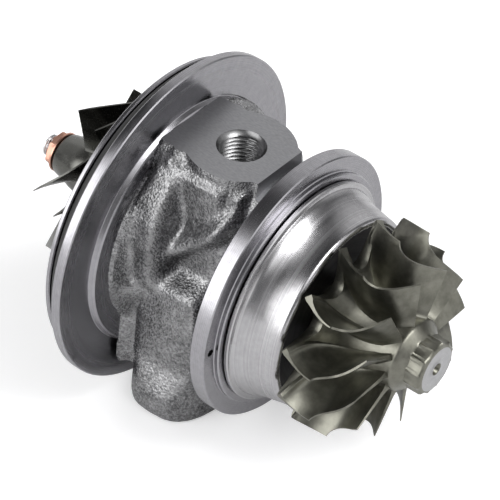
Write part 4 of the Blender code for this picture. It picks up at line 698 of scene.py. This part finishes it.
def blade(shape, hub_at, edge_at, angle_at, root, tip, fillet, start, phase, ground):
    """One closed blade, thick at its root, with a fillet; its outer border takes slot 1."""
    centres, spans = [], []
    for i in range(BLADE_STEPS + 1):
        t = start + (1 - start) * i / BLADE_STEPS
        hub, edge = hub_at(t), edge_at(t)
        row = []
        for v in BLADE_SHARES:
            x = hub[0] + (edge[0] - hub[0]) * v
            r = hub[1] + (edge[1] - hub[1]) * v
            a = phase + angle_at(t, v)
            row.append(Vector((FLANGE_X + x, r * math.cos(a), r * math.sin(a))))
        centres.append(row)
        spans.append(math.hypot(edge[0] - hub[0], edge[1] - hub[1]))
    last = len(BLADE_SHARES) - 1
    right, left = [], []
    for i, row in enumerate(centres):
        for j, point in enumerate(row):
            along = centres[min(i + 1, BLADE_STEPS)][j] - centres[max(i - 1, 0)][j]
            up = row[min(j + 1, last)] - row[max(j - 1, 0)]
            v = max(BLADE_SHARES[j], 0.0)
            half = (root + (tip - root) * v) / 2 + fillet * math.exp(-v * spans[i] / fillet)
            half *= 1 - EDGE_THINNING * (1 - min(i / 2, (BLADE_STEPS - i) / 2, 1.0))
            offset = along.cross(up).normalized() * half
            right.append(point + offset)
            left.append(point - offset)
    right = [shape.verts.new(point) for point in right]
    left = [shape.verts.new(point) for point in left]
    width = last + 1
    for i in range(BLADE_STEPS):
        for j in range(last):
            k = i * width + j
            quad = (k, k + 1, k + width + 1, k + width)
            shape.faces.new([right[n] for n in quad])
            shape.faces.new([left[n] for n in reversed(quad)])
    border = ([(i * width, 0) for i in range(BLADE_STEPS)]
              + [(BLADE_STEPS * width + j, 0) for j in range(last)]
              + [(i * width + last, 1) for i in range(BLADE_STEPS, 0, -1)]
              + [(j, 1 if ground else 0) for j in range(last, 0, -1)])
    following = [n for n, slot in border[1:] + border[:1]]
    for (n, slot), m in zip(border, following):
        face = shape.faces.new((right[n], right[m], left[m], left[n]))
        face.material_index = slot


def solid_mesh(name, rows):
    """Rings of points skinned with quads and closed at both ends."""
    made = sheet_mesh(name, rows)
    shape = bmesh.new()
    shape.from_mesh(made)
    shape.verts.ensure_lookup_table()
    count, total = len(rows[0]), len(rows) * len(rows[0])
    shape.faces.new([shape.verts[i] for i in range(count)])
    shape.faces.new([shape.verts[i] for i in range(total - count, total)])
    bmesh.ops.recalc_face_normals(shape, faces=shape.faces)
    shape.to_mesh(made)
    shape.free()
    return made


def bladed_wheel(name, hub_mesh, blades_shape):
    """The hub and its blades as one mesh, by a union; its faces keep their slot numbers, 0 or 1, and its
    list of materials is left empty.
    """
    bmesh.ops.recalc_face_normals(blades_shape, faces=blades_shape.faces)
    hub = placed(name, hub_mesh)
    blades = placed(name + "_blades", mesh_of(blades_shape, name + "_blades"))
    for made in (hub, blades):
        made.data.materials.append(None)
        made.data.materials.append(None)
    union = hub.modifiers.new("union", "BOOLEAN")
    union.operation, union.object, union.solver = "UNION", blades, "EXACT"
    hub.data = bpy.data.meshes.new_from_object(
        hub.evaluated_get(bpy.context.evaluated_depsgraph_get()))
    hub.modifiers.clear()
    hub.data.name = name
    bpy.data.objects.remove(blades)
    crease(hub.data, 48.0)
    hub.data.materials.clear()
    return hub


def rim_at(share):
    """The disc's rim between two blades, from 0 at one blade to 1 at the next."""
    return SCALLOP_R + (TIP_R - 0.0004 - SCALLOP_R) * abs(1 - 2 * share) ** SCALLOP_POWER


def hub_station(radius):
    """Where the front of the disc lies at a radius."""
    q = min(max((TIP_R - radius) / (TIP_R - HUB_END_R), 0.0), 1.0)
    return EXIT - (EXIT - DISC_FRONT) * (1 - q ** HUB_POWER) ** (1 / HUB_POWER)


count = BLADES * PER_BLADE
angles = [FIRST_BLADE + 2 * math.pi * i / count for i in range(count)]
rims = [rim_at((i % PER_BLADE) / PER_BLADE) for i in range(count)]
lobes = [SOCKET_R - LOBE_DEPTH * abs(math.sin(BLADES / 2 * (a - FIRST_BLADE))) ** 0.8 for a in angles]
rings = [[(BOSS_BACK, BOSS_BACK_R)] * count, [(DISC_BACK - 0.0006, BOSS_BACK_R)] * count,
         [(DISC_BACK, SCALLOP_R - 0.001)] * count, [(DISC_BACK, rim - 0.0002) for rim in rims],
         [(DISC_BACK + 0.0002, rim) for rim in rims],
         [(hub_station(rim) - 0.0002, rim) for rim in rims]]
for share in (0.985, 0.9, 0.75, 0.55, 0.35, 0.18, 0.06):
    inner = [SCALLOP_R - 0.0013 + (rim - SCALLOP_R + 0.0013) * share for rim in rims]
    rings.append([(hub_station(r), r) for r in inner])
for t in (0.52, 0.56, 0.61, 0.66, 0.71, 0.77, 0.83, 0.89, 0.95, 1.0):
    rings.append([turbine_hub(t)] * count)
rings += [[(x, r)] * count for x, r in (
    (EXIT + 0.0006, HUB_END_R), (EXIT + 0.0012, HUB_END_R - 0.0003),
    (SOCKET_X - 0.0004, 0.0080), (SOCKET_X, 0.0077))]
rings += [[(SOCKET_X + depth, r - less) for r in lobes]
          for depth, less in ((0.0002, 0.0), (0.0040, 0.0), (0.0046, 0.0003))]
rings += [[(SOCKET_X + depth, r)] * count for depth, r in (
    (0.0048, 0.0068), (0.0050, 0.0064), (0.0050, 0.0018), (0.0047, 0.0015), (0.0022, 0.0013),
    (0.0014, 0.0004))]
hub_mesh = solid_mesh("turbine_casting", [
    [(FLANGE_X + x, r * math.cos(a), r * math.sin(a)) for (x, r), a in zip(ring, angles)]
    for ring in rings])
shape = bmesh.new()
for n in range(BLADES):
    blade(shape, turbine_hub, turbine_edge, turbine_angle, root=0.0016, tip=0.0006, fillet=0.0009,
          start=0.0, phase=FIRST_BLADE + 2 * math.pi * n / BLADES, ground=True)
turbine_casting = bladed_wheel("turbine_casting", hub_mesh, shape)


def cast_alloy(name, dark, light, roughness, scale, depth):
    """A fine investment-cast skin: faint blotches and a satin grain."""
    alloy = Finish(name)
    blotches = alloy.grain(scale=scale / 8, detail=4.0, roughness=0.6)
    satin = alloy.grain(scale=scale, detail=3.0, roughness=0.6)
    alloy.tone(blotches, dark, light, low=0.32, high=0.70)
    alloy.polish(satin, low=roughness - 0.08, high=roughness + 0.10)
    alloy.emboss(satin, strength=0.30, depth=depth)
    return alloy.material


for alloy in (
    cast_alloy("nickel_alloy", (0.135, 0.134, 0.112), (0.225, 0.222, 0.19), 0.36, 2200.0, 0.00006),
    turned_metal("ground_alloy", (0.80, 0.79, 0.77), (0.95, 0.94, 0.92), 0.36),
    turned_metal("faced_alloy", (0.34, 0.34, 0.345), (0.46, 0.46, 0.47), 0.30, sheen=0.2),
):
    turbine_casting.data.materials.append(alloy)
for face in turbine_casting.data.polygons:
    r, station = math.hypot(face.center.y, face.center.z), face.center.x - FLANGE_X
    if station > SOCKET_X + 0.00495 and r < 0.0066:
        face.material_index = 2
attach(turbine_casting, "rotor")
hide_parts("turbine_wheel")

# The compressor wheel is milled from aluminium: six full blades and six shorter ones between
# them, all curved back against the turn. Its bore is held on the shaft by the lock nut.
EYE, WHEEL_RIM, WHEEL_BACK = -0.0304, -0.0110, -0.0093
WHEEL_R, EYE_R, EYE_HUB_R, RIM_WIDTH = 0.0310, 0.0244, 0.0080, 0.0034
WHEEL_BORE, NOSE_X = 0.0034, EYE - 0.0088
FIRST_FULL, SPLITTER_START, WHEEL_BLADES = math.radians(106.0), 0.36, 12


def compressor_hub(t):
    swing = math.pi / 2 * t
    return (EYE + (WHEEL_RIM - EYE) * math.sin(swing), WHEEL_R - (WHEEL_R - EYE_HUB_R) * math.cos(swing))


def compressor_edge(t):
    swing = math.pi / 2 * t
    return (EYE + (WHEEL_RIM - EYE - RIM_WIDTH) * math.sin(swing),
            WHEEL_R - (WHEEL_R - EYE_R) * math.cos(swing))


def compressor_angle(t, v):
    """Lean of the compressor's blade: it curls back, and its foot leads near the rim."""
    lead = 14 * max(1 - v, 0) * t ** 4
    return math.radians(lead - 34 * (1 - (1 - t) ** 2) - 20 * t ** 2)


profile = [(WHEEL_BACK, WHEEL_BORE), (WHEEL_BACK, EYE_HUB_R), (WHEEL_BACK - 0.0008, WHEEL_R - 0.0001),
           (WHEEL_BACK - 0.0009, WHEEL_R)]
profile += [compressor_hub(1 - i / 20) for i in range(21)]
profile += [(EYE - 0.0020, 0.0076), (EYE - 0.0050, 0.0067), (EYE - 0.0080, 0.0060),
            (NOSE_X + 0.0002, 0.0057), (NOSE_X, 0.0054), (NOSE_X, WHEEL_BORE)]
shape = bmesh.new()
for n in range(WHEEL_BLADES):
    blade(shape, compressor_hub, compressor_edge, compressor_angle, root=0.0011, tip=0.0005,
          fillet=0.0007, start=SPLITTER_START if n % 2 else 0.0,
          phase=FIRST_FULL + 2 * math.pi * n / WHEEL_BLADES, ground=False)
compressor_milling = bladed_wheel(
    "compressor_milling", turned_mesh("compressor_milling", profile, 144, 40.0), shape)
for aluminium in (
    cast_alloy("milled_aluminium", (0.11, 0.11, 0.10), (0.17, 0.17, 0.16), 0.24, 1100.0, 0.00002),
    turned_metal("turned_aluminium", (0.55, 0.55, 0.55), (0.72, 0.72, 0.72), 0.28),
):
    compressor_milling.data.materials.append(aluminium)
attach(compressor_milling, "rotor")
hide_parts("compressor_wheel")

# The lock nut is a small copper-plated hexagon with a washer face, screwed on the threaded
# end of the shaft. It presses the wheel's nose against the collars behind it.
NUT_SEAT = NOSE_X - 0.0003
NUT_BORE, WASHER_R, HEX_R = 0.0034, 0.0058, 0.0053
HEX_TURN, SIXTH = math.radians(8), math.pi / 3
NUT_RINGS = (  # height over the seat, radius where it is round, share of the hexagon
    (0.0, NUT_BORE, 0), (0.0, WASHER_R - 0.0002, 0), (0.0001, WASHER_R, 0), (0.0006, WASHER_R, 0),
    (0.0007, WASHER_R - 0.0001, 0), (0.0009, HEX_R, 0.6), (0.0011, HEX_R, 1), (0.0022, HEX_R, 1),
    (0.0025, HEX_R - 0.0002, 0.9), (0.0027, HEX_R - 0.0007, 0.3), (0.0027, NUT_BORE, 0),
)
rows = []
for height, round_r, share in NUT_RINGS:
    row = []
    for j in range(96):
        a = 2 * math.pi * j / 96
        turn = (a - HEX_TURN + SIXTH / 2) % SIXTH - SIXTH / 2
        flat = HEX_R * math.cos(SIXTH / 2) / math.cos(abs(turn) - SIXTH / 2)
        r = min(round_r, flat) * share + round_r * (1 - share)
        row.append((FLANGE_X + NUT_SEAT - height, r * math.cos(a), r * math.sin(a)))
    rows.append(row)
plated_nut = placed("plated_nut", sheet_mesh("plated_nut", rows + rows[:1]))
welded(plated_nut.data)
crease(plated_nut.data, 25)
plated_nut.data.materials.append(
    cast_alloy("copper_plating", (0.50, 0.27, 0.20), (0.66, 0.38, 0.29), 0.34, 1600.0, 0.00003))
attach(plated_nut, "rotor")
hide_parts("lock_nut")

# The shaft is ground steel with a rolled thread at the compressor end, which stands out of the
# nut. At the turbine end it carries the seal hub, where the wheel is welded on.
STUB_END, STUB_PITCH, STUB_LENGTH, STUB_DEPTH = -0.0445, 0.00075, 0.0090, 0.00035
SHAFT_R, JOURNAL_R, SEAL_R, SEAL_GROOVE_R = 0.0031, 0.0050, 0.0082, 0.0069
SHAFT_SIDES, STUB_STEPS = 48, 120
SHAFT_STEPS = (
    (-0.0354, SHAFT_R), (0.0115, SHAFT_R), (0.0115, JOURNAL_R - 0.0004), (0.0119, JOURNAL_R),
    (0.0201, JOURNAL_R), (0.0205, JOURNAL_R - 0.0004), (0.0292, JOURNAL_R - 0.0004),
    (0.0296, JOURNAL_R), (0.0428, JOURNAL_R), (0.0428, SEAL_R - 0.0004), (0.0432, SEAL_R),
    (0.0440, SEAL_R), (0.0440, SEAL_GROOVE_R), (0.0457, SEAL_GROOVE_R), (0.0457, SEAL_R),
    (0.0509, SEAL_R),
)


def shaft_ring(station, radii):
    """One ring of points round the shaft, with a radius for each."""
    turns = [2 * math.pi * j / SHAFT_SIDES for j in range(SHAFT_SIDES)]
    return [(FLANGE_X + station, r * math.cos(a), r * math.sin(a)) for r, a in zip(radii, turns)]


rows = [shaft_ring(station, [r] * SHAFT_SIDES) for station, r in ((-0.0449, 0.0026), (-0.0448, 0.0028))]
for i in range(STUB_STEPS + 1):
    station = STUB_END + STUB_LENGTH * i / STUB_STEPS
    cut = STUB_DEPTH * min(i / 8, 1.0)
    rows.append(shaft_ring(station, [
        SHAFT_R - cut * thread_wave(station / STUB_PITCH - j / SHAFT_SIDES) for j in range(SHAFT_SIDES)]))
rows += [shaft_ring(station, [r] * SHAFT_SIDES) for station, r in SHAFT_STEPS]
ground_shaft = placed("ground_shaft", solid_mesh("ground_shaft", rows))
crease(ground_shaft.data, 35)
ground_shaft.data.materials.append(
    turned_metal("ground_steel", (0.55, 0.55, 0.56), (0.75, 0.75, 0.76), 0.24, 6000.0, 0.00001))
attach(ground_shaft, "rotor")
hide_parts("rotor_shaft")

# The pieces inside the housing keep their solids: steel rings and collars, bronze bearings,
# the aluminium insert and its rubber ring.
steel = turned_metal("plain_steel", (0.38, 0.38, 0.39), (0.55, 0.55, 0.56), 0.30)
bronze = turned_metal("bearing_bronze", (0.46, 0.32, 0.13), (0.64, 0.47, 0.22), 0.32)
insert_metal = turned_metal("insert_aluminium", (0.50, 0.50, 0.51), (0.66, 0.66, 0.67), 0.30)
inside = {
    steel: ("bearing_snap_ring_1", "bearing_snap_ring_2", "bearing_snap_ring_3",
            "compressor_piston_ring", "turbine_piston_ring", "insert_snap_ring", "oil_deflector",
            "thrust_bearing_pin_1", "thrust_bearing_pin_2", "thrust_ring", "thrust_sleeve"),
    bronze: ("journal_bearing_compressor", "journal_bearing_turbine", "thrust_bearing"),
    insert_metal: ("insert",),
    black_rubber.material: ("insert_o_ring",),
}
for metal, names in inside.items():
    for name in names:
        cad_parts[name].material_slots[0].material = metal
